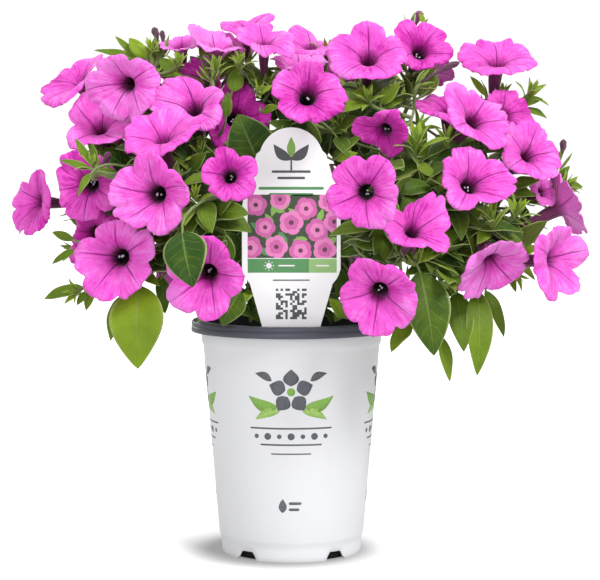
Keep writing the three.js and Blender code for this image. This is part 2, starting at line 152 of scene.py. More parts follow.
# How each flower is drawn, by its number. roll is the way its first lobe points in the view, in degrees
# anticlockwise from the right. tone runs from 0, deep, to 1, pale, and holds painted shade and light as well
# as the flower's own tint. aim is where its mouth looks and width how wide it is, where that differs from
# its node. rim holds the places in the view of its lobes' tips and of the notches between them, in turn,
# anticlockwise from the first lobe's tip. It has None where one is hidden, and ends at the last that shows.
# eye is how wide and how dark its throat is. tilts leans lobes forward.
BLOOM_LOOKS = {
    "01": dict(eye=0.4, roll=67, tone=0.4, aim=(-52, 5), rim=(
        (41, 168.5), (29, 184), (18, 188), (17, 209.5), (17, 230.5),
        (25.5, 229), (33, 235), (47, 222), (51, 205), (46.5, 184))),
    "02": dict(roll=117, tone=0.35, width=38, rim=(
        (72, 150), (62, 166), (59, 190), (66, 208), (84.5, 221.5), None, (118, 201))),
    "03": dict(roll=166, tone=0.12, rim=(
        (76, 226), (74, 243), (71, 263))),
    "04": dict(eye=0.7, roll=101, tone=0.65, rim=(
        (150, 151), (133, 166), (110, 184), (116, 207), (121.5, 221),
        (146, 225.5), (167.5, 234), (181, 209.5), (189, 187), (168.5, 169))),
    "05": dict(eye=0.7, roll=99, tone=0.68, aim=(-14, 4), rim=(
        (117, 219.5), (96, 238), (74, 252.5), (86.5, 276), (91, 296),
        (118, 295.5), (141, 287), (149, 262), (153.5, 237), (138, 232))),
    "06": dict(eye=0.5, roll=102, tone=0.85, aim=(-20, -6), width=40, rim=(
        (111.5, 55), (97, 70.5), (85, 90.5), None, None,
        None, (140.5, 117), (156, 90), (155, 66.5), (130, 61))),
    "07": dict(eye=0.3, roll=102, tone=0.5, rim=(
        (99, 55.5), (72, 70.5), (48.5, 84), (47.5, 97), (45, 105), (62, 104), (67, 101))),
    "08": dict(eye=0.3, roll=84, tone=0.75, aim=(-10, 37), width=42, rim=(
        (111.5, 84), (92, 95.5), (74, 102), (75, 125), (69, 147),
        (90, 145), (120, 140.5), None, (136.5, 113), (127.5, 99))),
    "09": dict(eye=0.5, roll=99, tone=0.7, aim=(-10, 38), rim=(
        (179.5, 77), (161.5, 87), (146, 99), None, None,
        (197.5, 130), (219.5, 125.5), (218.5, 103.5), (223, 90.5), (204.5, 90))),
    "10": dict(eye=0.25, roll=68, tone=0.5, aim=(-15, 57), width=42, rim=(
        (193, 116.5), (172, 111.5), (146, 114.5), (132, 124), (124, 138.5),
        (134, 152.5), (161.5, 154.5), (177, 147), (199, 129), (198, 120))),
    "12": dict(eye=0.3, roll=90, tone=0.95, aim=(25, 72), rim=(
        (211, 30), (198, 27.5), (187, 27.5), None, None, None, None, None, (236, 51), (226, 38))),
    "13": dict(eye=0.4, roll=60, tone=0.6, rim=(
        (272, 13.5), (246, 25), (221, 31))),
    "14": dict(eye=0.3, roll=94, tone=0.6, aim=(4, 70), rim=(
        (258, 23.5), (244, 27), (236, 38), (250, 48), (262, 57),
        None, (292, 58), None, (293, 36), (272, 31))),
    "15": dict(eye=0.9, roll=84, tone=0.4, tilts={0: 0.3}, rim=(
        (311, 61), (290, 71.5), (272, 82.5), (280, 101), (286.5, 118),
        (309.5, 120.5), (331, 119), (343.5, 103), (345, 90), (324, 74))),
    "16": dict(eye=0.3, roll=85, tone=0.75, aim=(-2, 62), rim=(
        (300.5, 26), (286, 33), (272, 40), None, None, None, None, None, (331, 47), (315, 43.5))),
    "17": dict(eye=0.4, roll=86, tone=0.5, aim=(2, 39), width=44, rim=(
        (367.5, 21.5), (350, 35.5), (328.5, 40), (331, 62), (340, 78),
        (362.5, 79.5), (389.5, 78), (400, 66), (406, 49), (386, 38))),
    "18": dict(eye=0.85, roll=57, tone=0.35, aim=(12, 26), rim=(
        (438.5, 27.5), (416.5, 27.5), (399.5, 22), (397, 42), (402, 61),
        (409, 66), (420, 70.5), (435, 64), (453, 56.5), (444, 42))),
    "19": dict(eye=0.4, roll=83, tone=0.5, rim=(
        (491, 40.5), (475, 47.5), (459.5, 48), (463, 64), (472, 73),
        (487.5, 75.5), (511, 76), (528, 71), (535.5, 61), (513.5, 46.5))),
    "20": dict(roll=101, tone=0.25, rim=(
        (223.5, 146), (215, 157.5), (200.5, 172), (210, 185.5), (214, 196),
        (230.5, 199), (252.5, 195.5), (253.5, 178), (256, 160), (239.5, 157.5))),
    "21": dict(roll=80, tone=0.05, rim=(
        (240, 80), (222, 90), None, None, (214, 146.5), (228, 145), None, None, (271.5, 115), (256, 102))),
    "23": dict(eye=0.85, roll=57, tone=0.55, rim=(
        (388, 159), (366.5, 161), (342.5, 161), (335.5, 183.5), (329.5, 208),
        (351.5, 218), (370, 229), (388, 222), (397, 202), (394.5, 183.5))),
    "24": dict(eye=0.78, roll=94, tone=0.55, aim=(18, 27), rim=(
        (467, 146), (451.5, 157.5), (441.5, 174), (447, 190), (457, 211.5),
        (478, 202), (507, 199), (511, 185), (510.5, 170.5), (486.5, 159))),
    "25": dict(eye=0.4, roll=90, tone=0.5, rim=(
        (419, 198.5), (403, 213.5), (380.5, 214), (389, 235), (403, 247),
        (428, 245.5), (447, 252.5), (444.5, 232.5), (448, 211), (436, 198))),
    "26": dict(eye=0.7, roll=46, tone=0.55, aim=(-10, -16), rim=(
        (405, 272.5), (381.5, 265.5), (357.5, 257.5), (350, 280), (340, 300),
        (358, 321.5), (373, 336.5), (396.5, 326), (414, 316.5), (414, 290.5))),
    "27": dict(eye=0.7, roll=74, tone=0.55, aim=(-10, -12), rim=(
        (213, 236), (190, 246), (168, 258), (173.5, 280), (169, 302),
        (195, 311.5), (215.5, 320), (230.5, 297.5), (245, 276), (229.5, 259.5))),
    "28": dict(eye=0.4, roll=29, tone=0.8, aim=(26, -42), rim=(
        (525, 248), (513, 243), (500, 241.5), (478, 252), (461, 276),
        (464.5, 290), (474, 297.5), (483, 286.5), (513, 281), (523, 262))),
    "29": dict(eye=0.3, roll=93, tone=0.75, aim=(58, 4), rim=(
        (560.5, 225), (545.5, 236), (532.5, 246), (533, 272), (547.5, 300),
        (555.5, 290.5), (579.5, 289), (572, 269.5), (587.5, 249.5), (572, 236))),
    "30": dict(eye=0.8, roll=78, tone=0.1, aim=(-25, -20), width=31, rim=(
        (395.5, 109), (373, 117), (352, 123), (362, 137), (379, 148.5), None, None, None, (408, 130))),
    "31": dict(eye=0.6, roll=61, tone=0.65, aim=(30, 32), width=40, rim=(
        (486, 99.5), (467, 92), (446.5, 84), None, None,
        (480, 142), (500, 149), (505, 134), (508.5, 122), (499, 112))),
    "33": dict(eye=0.6, roll=82, tone=0.4, aim=(31, 32), rim=(
        (505, 89.5), (491, 95.5), (486, 103), None, None, None, None, None, (532, 114), (518, 98.5))),
    "34": dict(eye=0.35, roll=71, tone=0.6, aim=(26, 28), rim=(
        (537, 123.5), (516, 126.5), (505.5, 131), (503, 152), (507, 169),
        (524.5, 174), (545.5, 180), (556, 170), (558, 152), (545.5, 141.5))),
    "35": dict(eye=0.4, roll=80, tone=0.95, aim=(102, 26)),
    "22": dict(rim=((200, 66), (190, 63), (178, 75), None, None, None, None, None, (215, 78))),
    "32": dict(rim=(
        (434, 97), (424, 100), (412.5, 103.5), None, None, None, (469.5, 138))),
}

# Flowers with no node of their own, by their throat: (name, place, forward, width, turn, lift, roll, tone).
# turn is where the mouth looks, 0 towards the viewer and positive to the viewer's right.
SEEN_BLOOMS = (
    ("flower_11", (181, 52), 0, 27, -5, 66, 90, 0.9),
    ("flower_22", (211, 85), 8, 34, -25, 30, 80, 0.1),
    ("flower_32", (449, 116), 18, 38, -16, 72, 70, 0.5),
    ("flower_36", (540, 193), 22, 20, 40, 20, 90, 0.8),
    ("flower_37", (299, 72), 6, 34, 5, 74, 90, 0.95),
)
# Those on the side that doesn't show: (throat, width, turn, lift, roll, tone), numbered on from the last node
FIRST_FAR_BLOOM = 9
FAR_BLOOMS = (
    ((-0.098, 0.034, 0.226), 36, -96, 22, 80, 0.5),
    ((-0.036, 0.07, 0.278), 34, -165, 48, 70, 0.6),
    ((0.112, 0.052, 0.236), 38, 122, 26, 90, 0.5),
    ((0.124, 0.03, 0.168), 34, 104, -4, 60, 0.4),
    ((0.006, 0.1, 0.146), 32, 178, -18, 90, 0.4),
    ((-0.066, 0.07, 0.152), 32, -130, -20, 75, 0.35),
    ((-0.106, 0.056, 0.18), 36, -110, -6, 60, 0.55),
    ((-0.096, 0.05, 0.268), 34, -128, 40, 95, 0.5),
    ((-0.068, 0.104, 0.208), 36, -150, 14, 85, 0.5),
    ((-0.018, 0.108, 0.17), 35, -172, -8, 70, 0.45),
    ((0.064, 0.1, 0.198), 36, 150, 4, 65, 0.55),
    ((0.1, 0.072, 0.172), 36, 132, -6, 90, 0.5),
    ((0.078, 0.056, 0.27), 34, 135, 46, 80, 0.5),
    ((0.012, 0.09, 0.238), 36, 176, 26, 75, 0.6),
    ((-0.046, 0.05, 0.264), 32, -150, 70, 60, 0.55),
    ((0.036, 0.046, 0.262), 32, 150, 72, 85, 0.5),
    ((0.13, 0.0, 0.236), 34, 88, 34, 75, 0.45),
)

# Leaves with nodes of their own: (node, base, forward, tip, forward, width, face, tone).
# face is where the upper side looks, as turn and lift.
NODE_LEAVES = (
    ("leaf_hanging_left", (140, 286), 60, (138, 369), 72, 29, (-10, 12), 0.72),
    ("leaf_hanging_right", (420, 272), 72, (434, 356), 82, 24, (6, 16), 0.14),
    ("leaf_hanging_outer", (477, 290), 44, (477, 376), 56, 15, (10, 12), 0.4),
    ("leaf_over_flower", (182, 232), 106, (193, 287.5), 118, 23, (-8, 24), 0.0),
    ("leaf_left_of_label", (212, 219), 70, (252, 232), 78, 15, (4, 46), 0.2),
    ("leaf_behind_label", (258, 161), 36, (238, 114), 42, 26, (-10, 20), 0.05),
    ("leaf_right_of_label", (374, 228), 66, (329, 236), 78, 10, (0, 48), 0.35),
)

# Leaves that show in the view, each borne by the nearest stem, in the same terms
SEEN_LEAVES = (
    # over the rim on the left
    ((122, 296), 40, (110.5, 341), 52, 9, (-20, 10), 0.45),
    ((160, 276), 50, (165, 314), 52, 8, (20, 10), 0.15),
    ((240, 292), 44, (222, 326), 52, 15, (-10, 20), 0.15),
    ((254, 290), 36, (235, 312), 50, 8, (-30, 35), 0.8),
    ((140, 272), 58, (160, 286), 66, 6, (0, 30), 0.5),
    ((250, 300), 26, (262, 324), 32, 9, (0, 40), 0.1),
    ((228, 300), 30, (250, 317), 38, 10, (0, 50), 0.15),
    ((214, 308), 28, (197, 322), 40, 7, (-20, 40), 0.35),
    ((262, 294), 16, (245, 284), 22, 9, (0, 30), 0.2),
    ((232, 286), 26, (241, 266), 30, 8, (0, 30), 0.15),
    ((238, 250), 30, (226, 232), 34, 9, (0, 30), 0.1),
    ((244, 270), 24, (228, 256), 30, 9, (0, 30), 0.1),
    ((345, 318), 36, (329, 298), 42, 8, (0, 30), 0.6),
    ((354, 300), 26, (334, 322), 34, 9, (0, 40), 0.2),
    ((342, 286), 24, (330, 262), 28, 9, (0, 30), 0.1),
    ((352, 276), 22, (335, 296), 28, 9, (10, 20), 0.12),
    ((346, 252), 20, (331, 238), 26, 9, (10, 20), 0.12),
    # over the rim on the right
    ((456, 292), 46, (464, 352), 58, 14, (10, 14), 0.28),
    ((441, 336), 48, (450, 382), 48, 7, (10, 10), 0.5),
    ((485, 290), 38, (504, 337), 44, 8, (30, 14), 0.3),
    ((411, 322), 66, (391, 352), 70, 11, (-40, 10), 0.6),
    ((455, 280), 50, (446, 298), 58, 9, (0, 20), 0.2),
    ((505, 270), 30, (516, 292), 34, 7, (30, 10), 0.5),
    ((518, 264), 30, (535, 280), 34, 5, (40, 10), 0.5),
    # between the label and the flowers on its left
    ((201, 214), 78, (249, 214), 82, 17, (0, 52), 0.25),
    ((203, 210), 84, (209, 233), 92, 10, (0, 30), 0.4),
    ((190, 170), 50, (206, 153), 54, 8, (-10, 30), 0.2),
    ((226, 118), 30, (228, 92), 26, 6, (0, 20), 0.3),
    ((258, 84), 6, (281, 79), 10, 4, (0, 30), 0.5),
    ((254, 92), 14, (273, 88), 20, 5, (0, 20), 0.55),
    ((262, 112), 20, (280, 106), 26, 5, (0, 20), 0.5),
    ((232, 92), 20, (240, 68), 16, 9, (10, 25), 0.35),
    # behind and above the label
    ((300, 135), 20, (268, 122), 30, 9, (0, 30), 0.15),
    ((330, 132), 24, (362, 118), 34, 10, (0, 35), 0.2),
    ((336, 136), 30, (350, 158), 40, 8, (10, 30), 0.2),
    ((336, 160), 34, (358, 153), 40, 5, (0, 20), 0.7),
    # round the flower at the top centre
    ((366, 100), 30, (343, 112), 40, 9, (0, 40), 0.55),
    ((374, 100), 30, (352, 92), 36, 8, (0, 40), 0.5),
    ((380, 104), 30, (400, 84), 30, 9, (0, 40), 0.4),
    ((384, 106), 28, (404, 100), 30, 7, (0, 40), 0.4),
    # round the shoot at the right of the centre
    ((414, 158), 50, (398, 126), 44, 8, (0, 25), 0.35),
    ((416, 156), 46, (424, 122), 40, 8, (0, 25), 0.35),
    ((420, 158), 50, (446, 142), 44, 9, (20, 25), 0.35),
    ((418, 164), 56, (434, 178), 62, 7, (10, 30), 0.4),
    ((430, 186), 62, (397, 193), 70, 12, (0, 48), 0.1),
    ((420, 196), 66, (400, 212), 74, 9, (-10, 40), 0.12),
    ((446, 262), 58, (405, 275), 68, 12, (0, 42), 0.3),
    ((438, 268), 54, (470, 284), 58, 10, (10, 34), 0.22),
    ((424, 254), 58, (434, 284), 64, 10, (0, 26), 0.3),
    ((466, 226), 60, (524, 232), 66, 11, (10, 50), 0.12),
    ((505, 222), 56, (520, 246), 60, 10, (20, 34), 0.14),
    ((446, 216), 58, (484, 229), 66, 12, (10, 40), 0.12),
    ((420, 264), 62, (460, 276), 66, 10, (10, 30), 0.15),
    # at the upper edge
    ((486, 96), 10, (470, 76), 4, 4, (0, 20), 0.55),
    ((430, 88), 6, (432, 72), 0, 6, (0, 20), 0.4),
    ((400, 72), 0, (394, 56), -6, 4, (0, 20), 0.5),
    ((424, 24), -10, (420, 12), -14, 3, (0, 20), 0.6),
    ((518, 104), 8, (543, 99), 14, 6, (40, 20), 0.3),
    ((524, 108), 10, (547, 118), 14, 5, (40, 20), 0.35),
    # at the right edge
    ((560, 186), 8, (583, 187), 4, 6, (60, 20), 0.35),
    ((562, 196), 12, (574, 210), 14, 7, (60, 10), 0.3),
    ((556, 178), 4, (570, 166), 0, 5, (60, 20), 0.4),
    ((512, 186), 40, (540, 180), 44, 8, (30, 30), 0.3),
    ((512, 192), 40, (536, 196), 44, 7, (30, 30), 0.35),
    ((500, 238), 60, (526, 247), 62, 7, (20, 30), 0.35),
    # at the left edge
    ((84, 288), 44, (44, 299), 40, 8, (-40, 30), 0.35),
    ((88, 292), 44, (77, 305), 50, 5, (-20, 20), 0.4),
    ((92, 292), 44, (86, 310.5), 50, 5, (-10, 20), 0.45),
    ((76, 250), 24, (52, 264), 20, 5, (-40, 20), 0.4),
    ((74, 240), 20, (52, 232), 14, 5, (-40, 20), 0.35),
    ((92, 164), 58, (75, 138), 58, 4.6, (-20, 25), 0.45),
    ((90, 169), 60, (60, 160), 58, 4.2, (-20, 25), 0.35),
    ((91, 173), 62, (78, 196), 66, 4.6, (-20, 25), 0.4),
    ((96, 166), 56, (92, 143), 52, 4.4, (-10, 25), 0.35),
    ((97, 171), 56, (118, 172), 54, 4, (0, 30), 0.3),
    ((152, 112), 34, (140, 102), 36, 6, (-10, 25), 0.25),
    ((150, 118), 38, (134, 128), 44, 6, (-10, 25), 0.35),
    # at the top left
    ((140, 60), -4, (94, 50), -8, 5, (-20, 30), 0.35),
    ((146, 58), 0, (129, 38), -6, 8, (-20, 25), 0.75),
    ((136, 56), -6, (115, 36), -10, 4, (-20, 25), 0.45),
    ((158, 64), 2, (156, 42), -4, 8, (-10, 25), 0.4),
    ((176, 76), 12, (160, 58), 8, 9, (-10, 30), 0.3),
    ((184, 76), 12, (158, 76), 14, 5, (-10, 50), 0.6),
    ((214, 80), 10, (199, 43), 0, 7, (0, 25), 0.4),
    ((206, 74), 6, (190, 56), 0, 7, (-10, 25), 0.35),
    ((222, 76), 8, (234, 50), 0, 7, (10, 25), 0.45),
    ((226, 78), 8, (244, 52), -2, 6, (10, 25), 0.45),
    ((220, 78), 8, (222, 60), 4, 8, (0, 25), 0.3),
    ((246, 84), 0, (250, 58), -6, 6, (10, 25), 0.35),
)

# Shoot tips with their tuft of young leaves: (centre, forward, heading as turn and lift, size, leaves, tone)
SHOOT_TIPS = (
    ((195, 200), 88, (-5, 55), 13, 9, 0.55),
    ((416, 148), 60, (-8, 62), 19, 12, 0.5),
    ((368, 102), 34, (0, 50), 15, 9, 0.5),
    ((93, 166), 58, (-25, 60), 11, 7, 0.35),
    ((415, 262), 78, (0, 60), 13, 8, 0.6),
    ((492, 222), 70, (-10, 66), 17, 11, 0.5),
    ((516, 216), 60, (30, 60), 15, 10, 0.5),
    ((216, 72), 28, (0, 70), 14, 10, 0.4),
    ((240, 66), 24, (15, 60), 12, 8, 0.4),
    ((528, 96), 8, (40, 50), 15, 9, 0.35),
    ((562, 188), 8, (70, 40), 14, 9, 0.35),
    ((80, 290), 44, (-40, -10), 13, 7, 0.4),
    ((152, 54), 4, (-20, 60), 13, 9, 0.5),
    ((178, 66), 22, (0, 60), 12, 9, 0.4),
    ((428, 78), 4, (0, 70), 12, 8, 0.4),
    ((258, 94), 26, (30, 40), 11, 7, 0.4),
    ((200, 155), 44, (0, 50), 13, 8, 0.3),
    ((500, 100), 0, (20, 60), 14, 8, 0.4),
    ((447, 142), 58, (10, 75), 13, 8, 0.55),
    ((516, 274), 34, (40, -20), 12, 7, 0.45),
    ((340, 128), 26, (0, 60), 13, 8, 0.3),
)
FAR_SHOOT_TIPS = (
    ((-0.11, 0.03, 0.246), (-100, 50), 16, 9, 0.4),
    ((-0.05, 0.096, 0.244), (-160, 45), 16, 9, 0.45),
    ((0.012, 0.106, 0.2), (175, 30), 17, 9, 0.4),
    ((0.076, 0.086, 0.238), (150, 50), 16, 9, 0.4),
    ((0.12, 0.066, 0.2), (120, 30), 16, 9, 0.45),
    ((-0.124, 0.056, 0.166), (-110, 10), 16, 9, 0.35),
    ((-0.04, 0.106, 0.138), (-165, -10), 16, 9, 0.35),
    ((0.07, 0.1, 0.142), (150, -10), 16, 9, 0.35),
    ((0.02, 0.02, 0.278), (90, 80), 14, 9, 0.45),
    ((0.138, 0.012, 0.196), (95, 20), 15, 9, 0.4),
)

# Closed buds: (foot, forward, tip, forward, width, tone), tone from 0, dark, to 1, pink
SEEN_BUDS = (
    ((158, 52), 0, (154, 27), -8, 4, 0.05),
    ((162, 54), 2, (162, 30), -4, 3, 0.05),
    ((211, 78), 30, (204, 55), 26, 4.4, 0.05),
    ((412, 30), -14, (421, 11), -18, 5, 0.55),
    ((420, 84), 30, (460, 62), 20, 3.6, 0.1),
    ((558, 166), 14, (564, 139), 10, 3.8, 0.1),
    ((414, 262), 80, (412, 244), 84, 3, 0.3),
    ((96, 172), 46, (110, 152), 40, 4, 0.15),
)
FAR_BUDS = (
    ((-0.06, 0.09, 0.25), (-0.066, 0.102, 0.272), 5, 0.4),
    ((0.02, 0.1, 0.2), (0.024, 0.118, 0.216), 5, 0.3),
    ((0.1, 0.07, 0.238), (0.108, 0.082, 0.258), 5, 0.5),
    ((-0.106, 0.058, 0.19), (-0.118, 0.074, 0.204), 5, 0.3),
    ((0.02, 0.06, 0.252), (0.024, 0.076, 0.272), 5, 0.45),
)

# The outline of the plant in the view, inside which its small leaves stay
PLANT_OUTLINE = (
    (52, 200), (66, 148), (72, 118), (62, 92), (96, 60), (134, 48), (176, 52), (206, 52), (250, 60),
    (290, 66), (330, 70), (378, 70), (424, 66), (470, 74), (506, 84), (536, 104), (548, 150),
    (572, 180), (566, 226), (540, 250), (520, 276), (486, 300), (444, 296), (404, 316), (352, 325),
    (232, 325), (196, 318), (172, 292), (146, 276), (104, 288), (66, 270), (58, 236),
)


def srgb(red, green, blue):
    """A linear colour from its usual 0 to 255 values."""
    def linear(value):
        share = value / 255
        return share / 12.92 if share <= 0.04045 else ((share + 0.055) / 1.055) ** 2.4
    return (linear(red), linear(green), linear(blue), 1.0)


def grey(value):
    return srgb(value, value, value)


def colour_property(name, description, red, green, blue):
    return FloatVectorProperty(
        name=name, description=description, subtype="COLOR", size=4, min=0, max=1,
        default=srgb(red, green, blue),
    )


def length_property(name, description, millimetres):
    return FloatProperty(name=name, description=description, default=millimetres * MM, min=0, unit="LENGTH")


def strength_property(name, description, strength):
    return FloatProperty(name=name, description=description, default=strength, min=0)


# Colours of the finishes that no setting holds
THROAT_HALO = srgb(118, 8, 98)
PETAL_BACK = srgb(186, 66, 166)
TUBE_DARK = srgb(72, 22, 52)
TUBE_LIGHT = srgb(142, 62, 118)
MIDRIB = srgb(150, 170, 96)
LEAF_UNDERSIDE = srgb(128, 150, 92)
STEM_DARK = srgb(74, 102, 42)
STEM_LIGHT = srgb(150, 168, 90)
STEM_FLUSH = srgb(98, 62, 52)
STEM_HAIR = srgb(196, 204, 158)
SOIL_DARK = srgb(26, 18, 14)
SOIL_LIGHT = srgb(74, 54, 40)
SOIL_FIBRE = srgb(116, 92, 66)


class PetuniaPotSettings(bpy.types.PropertyGroup):
    wall: length_property("Wall", "Thickness of the pot's wall", 0.9)
    rim_height: length_property("Rim height", "Height of the turned-over collar", 6.2)
    body_top: length_property("Body top", "Radius of the body under the shoulder", 49.3)
    body_bottom: length_property("Body bottom", "Radius of the body above the ledge", 40.5)
    foot_radius: length_property("Foot radius", "Radius of the foot ring", 39)
    white: colour_property("Body colour", "Colour of the printed sleeve", 218, 219, 222)
    slate: colour_property("Rim colour", "Colour of the moulded plastic", 84, 87, 98)
    print_dark: colour_property("Print colour", "Colour of the printed ornament", 84, 88, 96)
    print_green: colour_property("Print green", "Colour of the printed leaves", 128, 178, 66)


class PetuniaFlowerSettings(bpy.types.PropertyGroup):
    # The petals run from deep through pink to pale by their tone: deep also stands for painted shade and pale
    # for painted light, on top of the petals' own streaks.
    pink: colour_property("Pink", "Colour of the lit petals", 248, 93, 211)
    pale: colour_property("Pale pink", "Colour of the palest petals", 252, 134, 230)
    deep: colour_property("Deep magenta", "Colour of the shaded petals", 208, 42, 174)
    vein: colour_property("Veins", "Colour of the midveins", 156, 20, 140)
    eye: colour_property("Eye", "Colour of the throat", 28, 4, 24)
    thickness: length_property("Thickness", "Thickness of the petals", 0.35)
    wave: FloatProperty(name="Wave", description="Height of the petals' waves, in shares of the radius",
                        default=0.062, min=0, max=0.3)


class PetuniaLeafSettings(bpy.types.PropertyGroup):
    dark: colour_property("Old leaf", "Colour of the old leaves", 40, 72, 14)
    light: colour_property("Young leaf", "Colour of the young leaves", 150, 180, 34)
    hair: colour_property("Edge", "Colour of the hairy edges", 186, 200, 132)
    thickness: length_property("Thickness", "Thickness of the blades", 0.4)
    spacing: length_property("Spacing", "Least distance between two small leaves' bases", 4.2)
    largest: length_property("Largest", "Length of the largest small leaves", 27)
    smallest: length_property("Smallest", "Length of the smallest small leaves", 11)
    inner: IntProperty(name="Inner leaves", description="Most leaves deep in the plant", default=320, min=0)
    count: IntProperty(name="Small leaves", description="Most small leaves on the plant", default=950, min=0)


class PetuniaLabelSettings(bpy.types.PropertyGroup):
    white: colour_property("Label colour", "Colour of the label's plastic", 240, 240, 242)
    band: colour_property("Band colour", "Colour of the printed band", 78, 148, 84)
    head_radius: length_property("Head radius", "Radius of the round head", 17.2)


class PetuniaStudioSettings(bpy.types.PropertyGroup):
    key: strength_property("Key light", "Strength of the light from the right", 2.3)
    top: strength_property("Top light", "Strength of the light from above", 0.7)
    front: strength_property("Front light", "Strength of the light from the front", 0.95)
    back: strength_property("Back light", "Strength of the light from behind", 0.8)
    sky: strength_property("Sky", "Strength of the white surroundings", 0.46)


UNDOABLE = {"REGISTER", "UNDO"}


# Small helpers

def seen(place, forward):
    """The point that shows at a place of the view, forward millimetres in front of the pot's axis."""
    right = (place[0] - VIEW_CENTRE[0]) / FOCAL
    up = (VIEW_CENTRE[1] - place[1]) / FOCAL
    ray = VIEW_AHEAD + VIEW_RIGHT * right + VIEW_UP * up
    return EYE + ray * ((-forward * MM - EYE.y) / ray.y)


def place_in_view(point):
    """Where a point shows in the view."""
    ray = point - EYE
    depth = ray.dot(VIEW_AHEAD)
    return (
        VIEW_CENTRE[0] + FOCAL * ray.dot(VIEW_RIGHT) / depth,
        VIEW_CENTRE[1] - FOCAL * ray.dot(VIEW_UP) / depth,
    )


def looking(turn, lift):
    """The direction that lies turn degrees round from the viewer and lift degrees up."""
    turn, lift = math.radians(turn), math.radians(lift)
    return Vector((math.sin(turn) * math.cos(lift), -math.cos(turn) * math.cos(lift), math.sin(lift)))


def inside(outline, place):
    """True where a place lies within a closed outline."""
    x, y = place
    within = False
    for (x0, y0), (x1, y1) in zip(outline, outline[1:] + outline[:1]):
        if (y0 > y) != (y1 > y) and x < (x1 - x0) * (y - y0) / (y1 - y0) + x0:
            within = not within
    return within


def lerp(a, b, share):
    return a + (b - a) * share


def smooth_share(low, high, value):
    """0 below low, 1 above high and an even S between them."""
    share = min(1, max(0, (value - low) / (high - low)))
    return share * share * (3 - 2 * share)


def settings(name):
    return getattr(bpy.context.scene, "petunia_" + name)


def add_piece(name, mesh, materials, nodes=()):
    """A finished piece in the scene, which rides with the frame and may stand for nodes of it."""
    piece = bpy.data.objects.new(name, mesh)
    bpy.context.scene.collection.objects.link(piece)
    for material in materials:
        mesh.materials.append(material)
    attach(piece, "root")
    if nodes:
        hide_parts(*nodes)
    return piece


def mesh_of(name, bm, smooth=True):
    for face in bm.faces:
        face.smooth = smooth
    mesh = bpy.data.meshes.new(name)
    bm.to_mesh(mesh)
    bm.free()
    return mesh


def thicken(piece, thickness, back_slot=0):
    """Gives a sheet its thickness. back_slot says how many slots on the material of its back is."""
    wall = piece.modifiers.new("Thickness", "SOLIDIFY")
    wall.thickness = thickness
    wall.offset = -1
    wall.material_offset = back_slot
    wall.use_quality_normals = True


def merged_node(name):
    """A bmesh of a node's surface with its loose triangles joined."""
    bm = bmesh.new()
    bm.from_mesh(NODES[name].data)
    bmesh.ops.remove_doubles(bm, verts=bm.verts, dist=1e-6)
    return bm


def profile_chain(bm, points, closed=False):
    """The vertices and edges of an outline given as (radius, height), ready to be spun."""
    chain = [bm.verts.new((radius, 0, height)) for radius, height in points]
    ends = chain[1:] + chain[:1] if closed else chain[1:]
    return chain, [bm.edges.new(pair) for pair in zip(chain, ends)]


def spin_round(bm, chain, edges, steps):
    """Spins an outline all the way round the upright axis."""
    bmesh.ops.spin(
        bm, geom=chain + edges, cent=(0, 0, 0), axis=(0, 0, 1), angle=FULL_TURN, steps=steps, use_merge=True,
    )


def cross_ways(axis, side):
    """The two directions square to an axis, the first of which is given, as a function of an angle."""
    other = axis.cross(side)
    return lambda angle: side * math.cos(angle) + other * math.sin(angle)


# Materials

class Shader:
    """A material's or a group's nodes, with short ways to add and join them."""

    def __init__(self, tree):
        self.tree = tree

    def add(self, kind, *values, output=0, **options):
        node = self.tree.nodes.new(kind)
        for option, value in options.items():
            setattr(node, option, value)
        for socket, value in zip(node.inputs, values):
            self.feed(socket, value)
        return node.outputs[output]

    def feed(self, socket, value):
        if isinstance(value, bpy.types.NodeSocket):
            self.tree.links.new(value, socket)
        elif value is not None:
            socket.default_value = value

    def maths(self, operation, *values, clamp=False):
        return self.add("ShaderNodeMath", *values, operation=operation, use_clamp=clamp)

    def times(self, first, second):
        return self.maths("MULTIPLY", first, second)

    def scaled(self, value, factor, offset, clamp=False):
        """value times factor plus offset."""
        return self.maths("MULTIPLY_ADD", value, factor, offset, clamp=clamp)

    def ramp(self, value, low, high, start=0.0, end=1.0):
        """value between low and high, turned smoothly into start to end."""
        return self.add("ShaderNodeMapRange", value, low, high, start, end, interpolation_type="SMOOTHSTEP")

    def mix(self, share, first, second):
        node = self.tree.nodes.new("ShaderNodeMix")
        node.data_type = "RGBA"
        self.feed(node.inputs[0], share)
        self.feed(node.inputs[6], first)
        self.feed(node.inputs[7], second)
        return node.outputs[2]

    def attribute(self, name, output="Fac"):
        node = self.tree.nodes.new("ShaderNodeAttribute")
        node.attribute_name = name
        return node.outputs[output]

    def place(self):
        return self.tree.nodes.new("ShaderNodeTexCoord").outputs["Object"]

    def noise(self, vector, scale, detail=2.0, roughness=0.5):
        node = self.tree.nodes.new("ShaderNodeTexNoise")
        self.feed(node.inputs["Vector"], vector)
        node.inputs["Scale"].default_value = scale
        node.inputs["Detail"].default_value = detail
        node.inputs["Roughness"].default_value = roughness
        return node.outputs["Fac"]

    def bump(self, height, strength, distance):
        node = self.tree.nodes.new("ShaderNodeBump")
        node.inputs["Strength"].default_value = strength
        node.inputs["Distance"].default_value = distance
        self.feed(node.inputs["Height"], height)
        return node.outputs["Normal"]

    def finish(self, surface, colour, relief, strength, distance):
        """Gives a surface its colour and the fine relief of a height."""
        self.feed(surface["Base Color"], colour)
        self.feed(surface["Normal"], self.bump(relief, strength, distance))

    def use(self, group, **values):
        """Places a node group and returns its node."""
        node = self.tree.nodes.new("ShaderNodeGroup")
        node.node_tree = group
        for name, value in values.items():
            self.feed(node.inputs[name], value)
        return node


